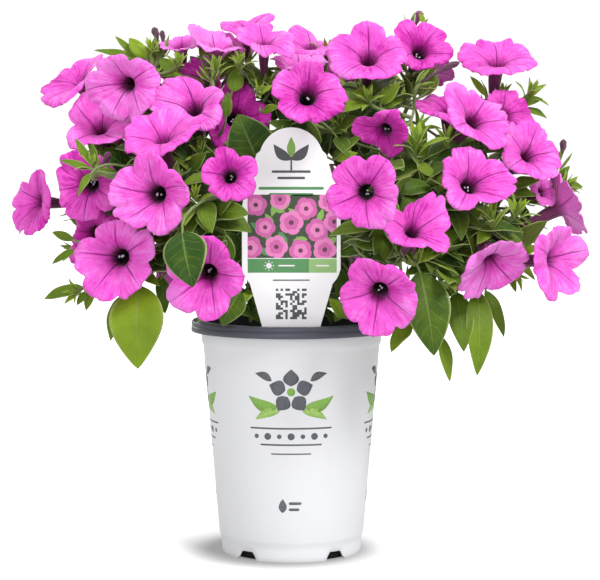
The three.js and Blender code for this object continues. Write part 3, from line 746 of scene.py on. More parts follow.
def new_material(name, roughness=0.5, **fixed):
    """A material with its shader, whose even values are set on its own sockets."""
    material = bpy.data.materials.new(name)
    material.use_nodes = True
    surface = material.node_tree.nodes["Principled BSDF"]
    surface.inputs["Roughness"].default_value = roughness
    for socket, value in fixed.items():
        surface.inputs[socket.replace("_", " ")].default_value = value
    return material, Shader(material.node_tree), surface.inputs


def new_group(name, inputs, outputs):
    """A node group whose sockets are all plain values, with its shader and its two ends."""
    group = bpy.data.node_groups.new(name, "ShaderNodeTree")
    for way, sockets in (("INPUT", inputs), ("OUTPUT", outputs)):
        for socket in sockets:
            group.interface.new_socket(socket, in_out=way, socket_type="NodeSocketFloat")
    entry = group.nodes.new("NodeGroupInput").outputs
    leave = group.nodes.new("NodeGroupOutput").inputs
    return group, Shader(group), entry, leave


def petal_veins_group():
    """Midveins and fine streaks that run from the throat to the rim."""
    group, shader, entry, leave = new_group("petal_veins", ["Width"], ["Midvein", "Streaks", "Rays"])
    reach = shader.attribute("reach")
    across = shader.attribute("across")
    fan = shader.attribute("fan", "Vector")
    radius = shader.scaled(reach, 0.78, 0.22)
    distance = shader.times(shader.times(across, radius), math.pi / LOBES)
    taper = shader.ramp(reach, 0.0, 1.0, 1.0, 0.3)
    width = shader.times(entry["Width"], taper)
    line = shader.ramp(shader.maths("DIVIDE", distance, width), 0.35, 1.15, 1.0, 0.0)
    fade = shader.ramp(reach, 0.45, 1.0, 1.0, 0.35)
    shader.feed(leave["Midvein"], shader.times(line, fade))
    shader.feed(leave["Streaks"], shader.noise(fan, 2.6, 4.0, 0.6))
    rays = shader.ramp(shader.noise(fan, 7.0, 2.0, 0.5), 0.52, 0.62)
    shader.feed(leave["Rays"], shader.times(rays, shader.ramp(reach, 0.0, 0.75, 1.0, 0.0)))
    return group


def petal_material(veins):
    """The face of a flower: pink streaked with deep and pale, also painted shade and light, with fine veins
    and a dark throat.
    """
    petals = settings("flowers")
    material, shader, surface = new_material(
        "petal", 0.5, Subsurface_Weight=0.2, Subsurface_Radius=(0.004, 0.0012, 0.003), Subsurface_Scale=0.5,
        Sheen_Weight=0.1, Sheen_Roughness=0.4, Specular_IOR_Level=0.22,
    )
    pattern = shader.use(veins, Width=0.026).outputs
    reach = shader.attribute("reach")
    tone = shader.attribute("tone")
    blotch = shader.noise(shader.place(), 120.0, 3.0)
    level = shader.scaled(pattern["Streaks"], 1.5, -0.8)
    level = shader.maths("ADD", shader.scaled(blotch, 1.3, -0.65), level)
    level = shader.maths("ADD", tone, level)
    level = shader.maths("ADD", level, shader.ramp(reach, 0.1, 1.0, -0.1, 0.12), clamp=True)
    # level holds painted shade and light as well as the petals' streaks and blotches.
    colour = shader.mix(shader.ramp(level, 0.0, 0.5), tuple(petals.deep), tuple(petals.pink))
    colour = shader.mix(shader.ramp(level, 0.5, 1.0), colour, tuple(petals.pale))
    colour = shader.mix(shader.times(pattern["Rays"], 0.4), colour, tuple(petals.vein))
    colour = shader.mix(shader.times(pattern["Midvein"], 0.8), colour, tuple(petals.vein))
    ragged = shader.maths("ADD", shader.scaled(pattern["Streaks"], -0.9, 0.45), reach)
    colour = shader.mix(shader.ramp(ragged, -0.1, 0.22, 0.9, 0.0), colour, THROAT_HALO)
    dark = shader.maths("MULTIPLY", shader.attribute("eye"), 1.35, clamp=True)
    dark = shader.times(shader.ramp(ragged, -0.3, -0.05, 1.0, 0.0), dark)
    colour = shader.mix(dark, colour, tuple(petals.eye))
    relief = shader.scaled(pattern["Midvein"], -0.8, pattern["Streaks"])
    relief = shader.maths("ADD", relief, shader.noise(shader.place(), 380.0, 3.0))
    relief = shader.scaled(blotch, 1.6, relief)
    shader.finish(surface, colour, relief, 0.85, 0.0013)
    return material


def petal_back_material(veins):
    """The outside of a flower: paler, with purple streaks that meet in a dark tube."""
    petals = settings("flowers")
    material, shader, surface = new_material(
        "petal_back", 0.55, Subsurface_Weight=0.15, Subsurface_Radius=(0.004, 0.0012, 0.003),
        Subsurface_Scale=0.5, Sheen_Weight=0.3, Sheen_Roughness=0.4, Specular_IOR_Level=0.25,
    )
    pattern = shader.use(veins, Width=0.05).outputs
    reach = shader.attribute("reach")
    tone = shader.scaled(pattern["Streaks"], 0.8, shader.attribute("tone"))
    colour = shader.mix(shader.ramp(tone, 0.1, 1.1), PETAL_BACK, tuple(petals.pale))
    colour = shader.mix(shader.times(pattern["Midvein"], 0.6), colour, tuple(petals.vein))
    colour = shader.mix(shader.times(pattern["Rays"], 0.6), colour, tuple(petals.vein))
    tube = shader.mix(shader.ramp(pattern["Streaks"], 0.4, 0.62), TUBE_DARK, TUBE_LIGHT)
    colour = shader.mix(shader.ramp(reach, -0.05, 0.24, 1.0, 0.0), colour, tube)
    shader.finish(surface, colour, pattern["Streaks"], 0.5, 0.0008)
    return material


def leaf_veins_group():
    """A leaf's midrib, its side veins and its hairy edge."""
    group, shader, entry, leave = new_group("leaf_veins", ["Midrib"], ["Midrib", "Veins", "Edge"])
    along = shader.attribute("along")
    across = shader.attribute("across")
    aside = shader.maths("ABSOLUTE", across)
    width = shader.times(entry["Midrib"], shader.ramp(along, 0.0, 1.0, 1.3, 0.5))
    shader.feed(leave["Midrib"], shader.ramp(shader.maths("DIVIDE", aside, width), 0.3, 1.1, 1.0, 0.0))
    phase = shader.scaled(aside, -0.2, along)
    wobble = shader.noise(shader.place(), 260.0, 1.0)
    phase = shader.scaled(wobble, 0.06, phase)
    wave = shader.maths("SINE", shader.times(phase, FULL_TURN * 6.5))
    inner = shader.ramp(aside, 0.6, 0.95, 1.0, 0.0)
    shader.feed(leave["Veins"], shader.times(shader.ramp(wave, 0.72, 1.0), inner))
    fuzz = shader.noise(shader.place(), 2600.0, 1.0)
    edge = shader.maths("ADD", aside, shader.scaled(fuzz, 0.14, -0.07))
    shader.feed(leave["Edge"], shader.ramp(edge, 0.88, 0.98))
    return group


def leaf_material(name, veins, paler):
    """A leaf's upper side, or with paler above 0 its underside."""
    leaves = settings("leaves")
    material, shader, surface = new_material(
        name, 0.52 + 0.2 * paler, Subsurface_Weight=0.08, Subsurface_Radius=(0.001, 0.0016, 0.0004),
        Subsurface_Scale=0.5, Sheen_Weight=0.03, Sheen_Roughness=0.5, Specular_IOR_Level=0.22,
    )
    pattern = shader.use(veins, Midrib=0.07).outputs
    place = shader.place()
    tone = shader.attribute("tone")
    patches = shader.noise(place, 90.0, 3.0)
    fuzz = shader.noise(place, 1500.0, 2.0)
    level = shader.scaled(patches, 0.5, shader.maths("SUBTRACT", tone, 0.25), clamp=True)
    colour = shader.mix(level, tuple(leaves.dark), tuple(leaves.light))
    colour = shader.mix(shader.times(pattern["Veins"], 0.1), colour, tuple(leaves.light))
    colour = shader.mix(shader.times(pattern["Midrib"], 0.32), colour, MIDRIB)
    colour = shader.mix(shader.ramp(fuzz, 0.55, 0.8, 0.0, 0.07), colour, tuple(leaves.hair))
    colour = shader.mix(shader.times(pattern["Edge"], 0.62), colour, tuple(leaves.hair))
    colour = shader.mix(0.3 * paler, colour, LEAF_UNDERSIDE)
    relief = shader.scaled(pattern["Veins"], -0.7, shader.times(fuzz, 0.35))
    relief = shader.scaled(pattern["Midrib"], -1.0 + 2.0 * paler, relief)
    shader.finish(surface, colour, relief, 0.5, 0.0005)
    return material


def stem_material():
    material, shader, surface = new_material("stem", 0.55, Sheen_Weight=0.4, Sheen_Roughness=0.5)
    place = shader.place()
    flush = shader.ramp(shader.noise(place, 45.0, 2.0), 0.5, 0.72)
    colour = shader.mix(shader.noise(place, 160.0, 2.0), STEM_DARK, STEM_LIGHT)
    colour = shader.mix(shader.times(flush, 0.55), colour, STEM_FLUSH)
    hairs = shader.noise(place, 2400.0, 2.0)
    colour = shader.mix(shader.ramp(hairs, 0.58, 0.8, 0.0, 0.4), colour, STEM_HAIR)
    shader.finish(surface, colour, hairs, 0.5, 0.0003)
    return material


def bud_material():
    material, shader, surface = new_material("bud", 0.5, Sheen_Weight=0.3, Subsurface_Weight=0.1,
                                             Subsurface_Radius=(0.002, 0.001, 0.0015))
    stripes = shader.noise(shader.attribute("fan", "Vector"), 3.0, 2.0)
    tone = shader.scaled(stripes, 0.6, shader.attribute("tone"))
    colour = shader.mix(shader.ramp(tone, 0.2, 0.75), srgb(58, 22, 44), srgb(132, 58, 104))
    colour = shader.mix(shader.ramp(tone, 0.75, 1.3), colour, srgb(214, 110, 190))
    shader.finish(surface, colour, stripes, 0.6, 0.0006)
    return material


def plastic_material(name, colour, roughness, speckle, painted_glow=0.0):
    """Moulded plastic with a faint grain and soft wear. Its emission is painted light, which lifts the shade
    on it.
    """
    material, shader, surface = new_material(
        name, roughness, Specular_IOR_Level=0.4, Emission_Color=(1, 1, 1, 1), Emission_Strength=painted_glow,
    )
    place = shader.place()
    grain = shader.noise(place, 900.0, 2.0)
    cloud = shader.noise(place, 35.0, 3.0)
    darker = tuple(c * (1 - speckle) for c in colour[:3]) + (1.0,)
    shader.feed(surface["Roughness"], shader.ramp(cloud, 0.2, 0.8, roughness - 0.05, roughness + 0.06))
    shader.finish(surface, shader.mix(cloud, darker, tuple(colour)), grain, 0.12, 0.0002)
    return material


def soil_material():
    material, shader, surface = new_material("potting_mix", 0.95, Specular_IOR_Level=0.2)
    place = shader.place()
    crumbs = shader.noise(place, 420.0, 4.0, 0.7)
    fibre = shader.noise(place, 1500.0, 2.0)
    colour = shader.mix(crumbs, SOIL_DARK, SOIL_LIGHT)
    colour = shader.mix(shader.ramp(fibre, 0.66, 0.78), colour, SOIL_FIBRE)
    shader.finish(surface, colour, crumbs, 0.9, 0.0015)
    return material


def ink_material(name, colour):
    material, shader, surface = new_material(name, 0.42, Specular_IOR_Level=0.35)
    mottle = shader.noise(shader.place(), 1200.0, 2.0)
    lighter = tuple(lerp(c, 1.0, 0.07) for c in colour[:3]) + (1.0,)
    shader.feed(surface["Base Color"], shader.mix(mottle, tuple(colour), lighter))
    return material


# Flowers

@dataclass
class Bloom:
    """A flower's place: its throat, where its mouth looks, its radius and how it is drawn."""
    name: str
    throat: Vector
    axis: Vector
    radius: float
    roll: float = 90.0
    tone: float = 0.5
    eye: float = 1.0
    tilts: dict = field(default_factory=dict)
    rim: tuple = ()
    node: bool = True

    def foot(self):
        return self.throat - self.axis * TUBE_LENGTH * self.radius

    def first_lobe(self):
        """The direction of its first lobe, square to its axis."""
        angle = math.radians(self.roll)
        right = VIEW_RIGHT if self.axis.dot(VIEW_AHEAD) < 0.3 else -VIEW_RIGHT
        way = right * math.cos(angle) + VIEW_UP * math.sin(angle)
        way -= self.axis * way.dot(self.axis)
        return way.normalized()

    def shares(self, point):
        """A point's height along the axis and its distance from it, in shares of the radius."""
        way = point - self.throat
        height = way.dot(self.axis)
        return height / self.radius, (way - self.axis * height).length / self.radius


def bloom_from_node(name):
    """Reads a flower's place off its node: its axis runs through the two points where most faces meet."""
    bm = merged_node(name)
    foot = next(v.co.copy() for v in bm.verts if len(v.link_faces) == 2 * LOBES)
    pit = next(v.co.copy() for v in bm.verts if len(v.link_faces) == 4 * LOBES)
    bm.free()
    axis = (pit - foot).normalized()
    radius = (pit - foot).length / (TUBE_LENGTH - THROAT_TO_PIT)
    look = dict(BLOOM_LOOKS.get(name[7:]) or dict(roll=90, tone=0.45))
    throat = pit + axis * THROAT_TO_PIT * radius
    if "aim" in look:
        axis = looking(*look.pop("aim"))
    radius = look.pop("width", 2 * radius / MM) * MM / 2
    return Bloom(name, throat, axis, radius, **look)


def all_blooms():
    blooms = [bloom_from_node(name) for name in sorted(NODES) if name.startswith("flower_")]
    for name, place, forward, width, turn, lift, roll, tone in SEEN_BLOOMS:
        look = BLOOM_LOOKS.get(name[7:]) or {}
        blooms.append(Bloom(name, seen(place, forward), looking(turn, lift), width * MM / 2, roll, tone,
                            node=False, **look))
    for number, (place, width, turn, lift, roll, tone) in enumerate(FAR_BLOOMS, FIRST_FAR_BLOOM):
        name = f"flower_back_{number}"
        blooms.append(Bloom(name, Vector(place), looking(turn, lift), width * MM / 2, roll, tone, node=False))
    return blooms


def funnel_height(distance):
    """The height of an open corolla's surface at a distance from its axis, in shares of the radius."""
    for (r0, z0, _), (r1, z1, _) in zip(COROLLA, COROLLA[1:]):
        if distance <= r1:
            return lerp(z0, z1, max(0, distance - r0) / (r1 - r0))
    return COROLLA[-1][1]


def notch_curve(aside):
    return smooth_share(0.35, 1.25, aside) ** 1.9


def lobe_outline(aside, depth):
    """How far a lobe reaches, aside being 0 on its midvein and 1 in the notch beside it."""
    notch = notch_curve(aside) / notch_curve(1.0)
    point = max(0.0, 1 - aside / 0.16)
    return 0.985 - 0.03 * aside ** 2 - depth * notch + 0.025 * point


class LimbShape:
    """The uneven form of one flower's limb: its lobes' sizes, tilts, notches and waves."""

    def __init__(self, bloom, rng, wave):
        self.wave = wave
        self.throat = lerp(0.58, 1, bloom.eye)
        self.sizes = [rng.uniform(0.95, 1.04) for _ in range(LOBES)]
        self.tilts = [rng.gauss(0, 0.06) + bloom.tilts.get(k, 0) for k in range(LOBES)]
        self.depths = [rng.uniform(0.13, 0.22) for _ in range(LOBES)]
        self.curls = [rng.uniform(0.0, 0.13) for _ in range(LOBES)]
        self.offset = Vector((rng.uniform(0, 90), rng.uniform(0, 90), rng.uniform(0, 90)))

    def aside(self, angle):
        """Which lobe an angle lies in, and how far it is from the lobe's midvein to the notch."""
        turn = angle * LOBES / FULL_TURN
        return int(round(turn)) % LOBES, abs((turn + 0.5) % 1 - 0.5) * 2

    def bend(self, radius, height, angle, reach, even=False):
        """A plain funnel's point, moved to where the limb has it. even leaves the fine waves out."""
        lobe, aside = self.aside(angle)
        notch = int(angle * LOBES / FULL_TURN) % LOBES
        limb = max(0.0, reach)
        radius *= lerp(self.throat, 1, smooth_share(0.0, 0.5, reach))
        crest = math.cos(aside * math.pi / 2)
        size = lobe_outline(aside, self.depths[notch]) * lerp(self.sizes[lobe], 1, aside ** 2)
        radius *= lerp(1, size, limb ** 1.6)
        height += self.tilts[lobe] * crest * limb ** 2
        radius *= 1 - 0.5 * abs(self.tilts[lobe]) * crest * limb ** 2
        height += 0.03 * math.sin(math.pi * aside) * limb
        height -= (0.03 * aside ** 6 + 0.05 * aside ** 14) * limb ** 2
        height -= (0.03 + self.curls[lobe] * crest) * limb ** 6
        if not even:
            way = Vector((math.cos(angle), math.sin(angle), 0))
            ripple = noise.noise(self.offset + way * 1.9 + Vector((0, 0, limb * 1.2)))
            crumple = noise.noise(self.offset + way * 7.0 + Vector((0, 0, limb * 2.2)))
            frill = noise.noise(self.offset + way * 15.0)
            height += self.wave * limb ** 2 * (1.7 * ripple + 0.85 * crumple + 0.4 * limb ** 3 * frill)
            radius *= 1 + 0.03 * limb ** 4 * noise.noise(self.offset + way * 9.0)
            radius *= 1 + 0.024 * limb ** 8 * noise.noise(self.offset + way * 19.0)
        return radius, height


def rim_shifts(bloom, shape, place):
    """How far each tip and notch of the rim moves, square to the view, from where the even limb has it."""
    shifts = []
    steps = 2 * LOBES
    for k in range(steps):
        angle = k * FULL_TURN / steps
        target = bloom.rim[k] if k < len(bloom.rim) else None
        if target is None:
            shifts.append(None)
            continue
        radius, height = shape.bend(COROLLA[-1][0], COROLLA[-1][1], angle, 1.0, even=True)
        point = place(radius, height, angle)
        across, down = place_in_view(point)
        scale = (point - EYE).dot(VIEW_AHEAD) / FOCAL
        shift = VIEW_RIGHT * (target[0] - across) * scale - VIEW_UP * (target[1] - down) * scale
        shifts.append(shift * min(1.0, 0.5 * bloom.radius / max(shift.length, 1e-9)))
    known = [k for k in range(steps) if shifts[k] is not None]
    for k in range(steps):
        if shifts[k] is None:
            beside = [shifts[j] * 0.3 for j in known if (j - k) % steps in (1, steps - 1)]
            shifts[k] = sum(beside, Vector())
    return shifts


def shift_at(shifts, angle):
    """The shift at an angle, smoothly between those of the tips and notches."""
    count = len(shifts)
    turn = angle / FULL_TURN * count
    k = int(turn)
    t = turn - k
    before, first, second, after = (shifts[(k + j) % count] for j in (-1, 0, 1, 2))
    return (first * 2 + (second - before) * t + (before * 2 - first * 5 + second * 4 - after) * t ** 2
            + (first * 3 - before - second * 3 + after) * t ** 3) * 0.5


def shape_corolla(bm, bloom, rng, wave):
    """Turns a round funnel into five joined, waved lobes and puts it in its place."""
    reach_of = bm.verts.layers.float["reach"]
    across_of = bm.verts.layers.float["across"]
    tone_of = bm.verts.layers.float["tone"]
    eye_of = bm.verts.layers.float["eye"]
    fan_of = bm.verts.layers.float_vector["fan"]
    shape = LimbShape(bloom, rng, wave)
    round_axis = cross_ways(bloom.axis, bloom.first_lobe())

    def place(radius, height, angle):
        return bloom.throat + (round_axis(angle) * radius + bloom.axis * height) * bloom.radius

    shifts = rim_shifts(bloom, shape, place)
    lobe_tones = [rng.uniform(-0.14, 0.12) for _ in range(LOBES)]
    painted_light_side = rng.uniform(0, FULL_TURN)
    for vert in bm.verts:
        reach = vert[reach_of]
        angle = math.atan2(vert.co.y, vert.co.x) % FULL_TURN
        lobe, aside = shape.aside(angle)
        radius, height = shape.bend(vert.co.xy.length, vert.co.z, angle, reach)
        vert.co = place(radius, height, angle) + shift_at(shifts, angle) * max(0.0, reach) ** 1.4
        vert[across_of] = aside
        # The tone differs at random from lobe to lobe; on top of that one side of the flower is painted paler
        # and the other darker, as painted light and shade.
        tone = bloom.tone + lobe_tones[lobe] * (1 - aside ** 3)
        vert[tone_of] = tone + 0.12 * math.cos(angle - painted_light_side) * reach
        vert[eye_of] = bloom.eye
        vert[fan_of] = Vector((math.cos(angle) * 5, math.sin(angle) * 5, reach * 0.7)) + shape.offset


def corolla_mesh(bloom, rng):
    """A flower's corolla as one sheet, spun round its axis and then shaped."""
    bm = bmesh.new()
    for name in ("reach", "across", "tone", "eye"):
        bm.verts.layers.float.new(name)
    bm.verts.layers.float_vector.new("fan")
    reach_of = bm.verts.layers.float["reach"]
    chain, edges = profile_chain(bm, [(radius, height) for radius, height, _ in COROLLA])
    for vert, (_, _, reach) in zip(chain, COROLLA):
        vert[reach_of] = reach
    spin_round(bm, chain, edges, LOBES * STEPS_PER_LOBE)
    bmesh.ops.remove_doubles(bm, verts=bm.verts, dist=1e-5)
    if sum(face.normal.z for face in bm.faces) < 0:
        bmesh.ops.reverse_faces(bm, faces=bm.faces)
    shape_corolla(bm, bloom, rng, settings("flowers").wave)
    return mesh_of(bloom.name, bm)


def add_anthers(blooms, rng):
    """The pale anthers and the stigma that show as specks in each dark throat."""
    bm = bmesh.new()
    for bloom in blooms:
        if bloom.eye < OPEN_EYE:
            continue
        round_axis = cross_ways(bloom.axis, bloom.first_lobe())
        for _ in range(ANTHERS):
            out = round_axis(rng.uniform(0, FULL_TURN)) * rng.uniform(0.02, 0.07)
            spot = bloom.throat + (out + bloom.axis * rng.uniform(-0.16, -0.04)) * bloom.radius
            size = Matrix.Diagonal((*(side * bloom.radius for side in ANTHER_SIZE), 1))
            turn = Matrix.Rotation(rng.uniform(0, FULL_TURN), 4, bloom.axis)
            bmesh.ops.create_icosphere(
                bm, subdivisions=2, radius=1, matrix=Matrix.Translation(spot) @ turn @ size,
            )
    material, shader, surface = new_material("anther", 0.6)
    pollen = shader.noise(shader.place(), 3000.0, 2.0)
    shader.feed(surface["Base Color"], shader.mix(pollen, srgb(150, 140, 160), srgb(226, 222, 230)))
    add_piece("anthers", mesh_of("anthers", bm), [material])


# Leaves

LEAF_LAYERS = ("along", "across", "tone")
STRAND_STEPS = 8
LEAF_TRIES = 7
INNER_LEAF_TRIES = 9000


def leaf_sheet():
    bm = bmesh.new()
    for name in LEAF_LAYERS:
        bm.verts.layers.float.new(name)
    return bm


def blade_width(along):
    """A blade's half width at a share of its length, from its slim base to its tip."""
    body = math.sin(math.pi * min(1, max(0, along)) ** 0.78) ** 0.85 if 0 < along < 1 else 0
    return max(body, 0.07 * (1 - along))


def blade_path(base, tip, up, arch, along):
    middle = (base + tip) / 2 + up * arch * (tip - base).length
    control = middle * 2 - (base + tip) / 2
    return base * (1 - along) ** 2 + control * 2 * along * (1 - along) + tip * along ** 2


def add_blade(bm, base, tip, up, width, tone, rng, rows=8, columns=4, arch=0.12, fold=0.22, wave=0.12):
    """One leaf's blade, from a flat grid laid along its midrib."""
    layers = [bm.verts.layers.float[name] for name in LEAF_LAYERS]
    made = bmesh.ops.create_grid(bm, x_segments=rows, y_segments=columns, size=1.0)["verts"]
    phase = rng.uniform(0, FULL_TURN)
    lean = rng.uniform(-0.25, 0.25)
    step = 0.02
    for vert in made:
        along = (vert.co.x + 1) / 2
        across = vert.co.y
        centre = blade_path(base, tip, up, arch, along)
        ahead = (blade_path(base, tip, up, arch, along + step) - centre).normalized()
        side = up.cross(ahead).normalized()
        normal = ahead.cross(side).normalized()
        side = Matrix.Rotation(lean * along, 3, ahead) @ side
        normal = Matrix.Rotation(lean * along, 3, ahead) @ normal
        half = width / 2 * blade_width(along)
        rise = fold * abs(across) ** 1.3 - 0.5 * fold * abs(across) ** 4
        rise += wave * across ** 2 * math.sin(phase + along * 9 + (2.0 if across > 0 else 0))
        vert.co = centre + side * across * half + normal * rise * half
        for layer, value in zip(layers, (along, across, tone)):
            vert[layer] = value


def leaf_face(base, tip, up):
    """The upper side's direction, square to the leaf."""
    ahead = (tip - base).normalized()
    face = up - ahead * up.dot(ahead)
    return face.normalized() if face.length > 1e-4 else ahead.orthogonal()


class Bearers:
    """Every point of the stems, so that a leaf or a flower finds the nearest one."""

    def __init__(self):
        self.points = []
        for name in sorted(NODES):
            if name.startswith("shoot_"):
                bm = merged_node(name)
                bm.normal_update()
                self.points += [(v.co.copy(), v.normal.copy()) for v in bm.verts]
                bm.free()
        self.rebuild()

    def rebuild(self):
        self.tree = KDTree(len(self.points))
        for index, (point, _) in enumerate(self.points):
            self.tree.insert(point, index)
        self.tree.balance()

    def nearest(self, point):
        _, index, _ = self.tree.find(point)
        return self.points[index]


def twig_strand(bearers, end, heading):
    """A curved stalk's points, from inside the nearest stem to a leaf, bud or flower."""
    behind = end - heading * 0.008
    start, normal = bearers.nearest(behind)
    start = start - normal * 0.0006
    length = (end - start).length
    first = start + normal * length * 0.3
    last = end - heading * length * 0.38
    strand = []
    for k in range(STRAND_STEPS + 1):
        t = k / STRAND_STEPS
        near = start * (1 - t) ** 3 + first * 3 * t * (1 - t) ** 2
        strand.append(near + last * 3 * t * t * (1 - t) + end * t ** 3)
    return strand


def add_strands(name, strands, material):
    """Round stalks along lists of points, each with the radius at its two ends."""
    curve = bpy.data.curves.new(name, "CURVE")
    curve.dimensions = "3D"
    curve.bevel_depth = 1.0
    curve.bevel_resolution = 1
    curve.use_fill_caps = True
    for points, start, end in strands:
        spline = curve.splines.new("POLY")
        spline.points.add(len(points) - 1)
        for k, point in enumerate(points):
            spline.points[k].co = (*point, 1)
            spline.points[k].radius = lerp(start, end, k / (len(points) - 1))
        spline.use_smooth = True
    holder = bpy.data.objects.new(name, curve)
    bpy.context.scene.collection.objects.link(holder)
    bpy.context.view_layer.update()
    mesh = bpy.data.meshes.new_from_object(holder.evaluated_get(bpy.context.evaluated_depsgraph_get()))
    bpy.data.objects.remove(holder)
    bpy.data.curves.remove(curve)
    mesh.name = name
    add_piece(name, mesh, [material])


class Plant:
    """What one operator leaves for the next."""
    blooms = []
    bearers = None
    strands = []
    tufts = []
    materials = {}


def clear_of_blooms(points, blooms):
    """True if no point lies in a corolla, in front of a mouth, or before a flower that shows in the view."""
    for bloom in blooms:
        rim = bloom.throat + bloom.axis * RIM_RISE * bloom.radius
        faces_eye = bloom.axis.dot(EYE - bloom.throat) > 0
        for point in points:
            if (point - bloom.throat).length > 3.2 * bloom.radius and not faces_eye:
                continue
            height, distance = bloom.shares(point)
            if distance < 1.06 and -TUBE_LENGTH < height:
                surface = funnel_height(distance)
                if abs(height - surface) < 0.1 or surface < height < surface + 1.1:
                    return False
            if faces_eye:
                ray = (point - EYE).normalized()
                slope = ray.dot(bloom.axis)
                if slope > -0.15:
                    continue
                reach = (rim - EYE).dot(bloom.axis) / slope
                if (point - EYE).length < reach and (EYE + ray * reach - rim).length < bloom.radius * 1.02:
                    return False
    return True


def clear_of_pot(points):
    """True if no point lies in the pot, its soil or the label, or before the label."""
    for point in points:
        radius = math.hypot(point.x, point.y)
        if point.z < POT_HIGH.z + 0.0015 and POT_MOUTH < radius < POT_HIGH.x + PLANT_GAP:
            return False
        if point.z < SOIL_HIGH.z + PLANT_GAP and radius < POT_HIGH.x + PLANT_GAP:
            return False
        if point.z < LOWEST_LEAF:
            return False
        in_label = LABEL_LOW.x - PLANT_GAP < point.x < LABEL_HIGH.x + PLANT_GAP
        if in_label and point.z < LABEL_HIGH.z + PLANT_GAP and point.y < LABEL_HIGH.y + 0.0025:
            return False
    return True


def in_outline(points):
    return all(inside(PLANT_OUTLINE, place_in_view(point)) for point in points)


def in_cad_box(points):
    """True if no point goes far past the box of the frame."""
    low, high = CAD_BOX
    return all(low[k] - BOX_MARGIN < point[k] < high[k] + BOX_MARGIN for point in points for k in range(3))


def add_tuft(bm, centre, heading, size, count, tone, rng):
    """A shoot's tip: young leaves in a spiral, the inner ones small and upright."""
    round_axis = cross_ways(heading, heading.orthogonal().normalized())
    start = rng.uniform(0, FULL_TURN)
    for k in range(count):
        share = k / (count - 1)
        out = round_axis(start + k * GOLDEN_ANGLE)
        lean = lerp(math.radians(6), math.radians(58), share)
        way = heading * math.cos(lean) + out * math.sin(lean)
        base = centre + heading * size * lerp(0.3, -0.25, share) + out * 0.0006
        length = size * lerp(0.42, 1.0, share) * rng.uniform(0.85, 1.12)
        tip = base + way * length
        up = leaf_face(base, tip, heading - out * 0.2)
        width = length * rng.uniform(0.2, 0.28)
        add_blade(bm, base, tip, up, width, tone + 0.35 * (1 - share) + 0.2, rng,
                  rows=7, columns=4, arch=0.14 * share, fold=0.5)


def add_calyx(bm, bloom, rng):
    """Five slim sepals that hold the foot of a flower's tube."""
    round_axis = cross_ways(bloom.axis, bloom.first_lobe())
    foot = bloom.foot()
    for k in range(LOBES):
        out = round_axis((k + 0.5) * FULL_TURN / LOBES + rng.uniform(-0.2, 0.2))
        base = foot - bloom.axis * 0.0015 + out * (0.11 * bloom.radius + 0.0004)
        length = rng.uniform(0.0085, 0.0115)
        tip = base + (bloom.axis * 0.86 + out * rng.uniform(0.4, 0.62)) * length
        up = leaf_face(base, tip, bloom.axis - out)
        width = rng.uniform(0.0022, 0.003)
        add_blade(bm, base, tip, up, width, 0.5, rng, rows=5, columns=2, arch=-0.06, fold=0.3)


def before_tufts(points):
    """True if a point hides a shoot's tip in the view."""
    for centre, reach in Plant.tufts:
        depth = (centre - EYE).length
        for point in points:
            if (point - EYE).length > depth + reach * 0.4:
                continue
            ray = (point - EYE).normalized()
            if (centre - EYE - ray * (centre - EYE).dot(ray)).length < reach:
                return True
    return False


def has_room(probes):
    """True if a leaf through these points stays within the plant and hides none of its flowers and tips."""
    return (clear_of_pot(probes) and in_outline(probes) and in_cad_box(probes)
            and clear_of_blooms(probes, Plant.blooms) and not before_tufts(probes))


def add_small_leaves(bm, rng):
    """Leaves all over the stems, where they keep clear of flowers, pot and label."""
    leaves = settings("leaves")
    sites = [site for site in Plant.bearers.points if site[0].z > LOWEST_BASE]
    rng.shuffle(sites)
    chosen = []
    for point, normal in sites:
        if len(chosen) >= leaves.count:
            break
        if chosen and min((point - other).length_squared for other in chosen) < leaves.spacing ** 2:
            continue
        outward = (point - PLANT_HEART).normalized()
        depth = 1 - min(1.0, (point - PLANT_HEART).length / 0.13)
        for attempt in range(LEAF_TRIES):
            stray = Vector([rng.gauss(0, 0.5) for _ in range(3)])
            way = (normal * 0.7 + outward * 0.8 + UP * 0.15 + stray).normalized()
            length = lerp(leaves.largest, leaves.smallest, attempt / (LEAF_TRIES - 1))
            length *= rng.uniform(0.85, 1.15)
            tip = point + way * length
            up = leaf_face(point, tip, UP * 0.8 + outward * 0.6 + stray * 0.3)
            width = length * rng.uniform(0.36, 0.5)
            side = up.cross(way).normalized() * width * 0.5
            probes = [point + way * length * share for share in (0.12, 0.35, 0.6, 0.85, 1.0)]
            probes += [probe + side * turn for probe in probes[1:3] for turn in (-1, 1)]
            if not has_room(probes):
                continue
            # Leaves are darker the nearer they stand to the plant's heart: painted shade.
            tone = min(0.85, max(0.02, rng.gauss(0.4, 0.2) - 0.35 * depth))
            add_blade(bm, point, tip, up, width, tone, rng, rows=7, columns=4,
                      arch=rng.uniform(0.04, 0.16), fold=rng.uniform(0.15, 0.35))
            chosen.append(point)
            break


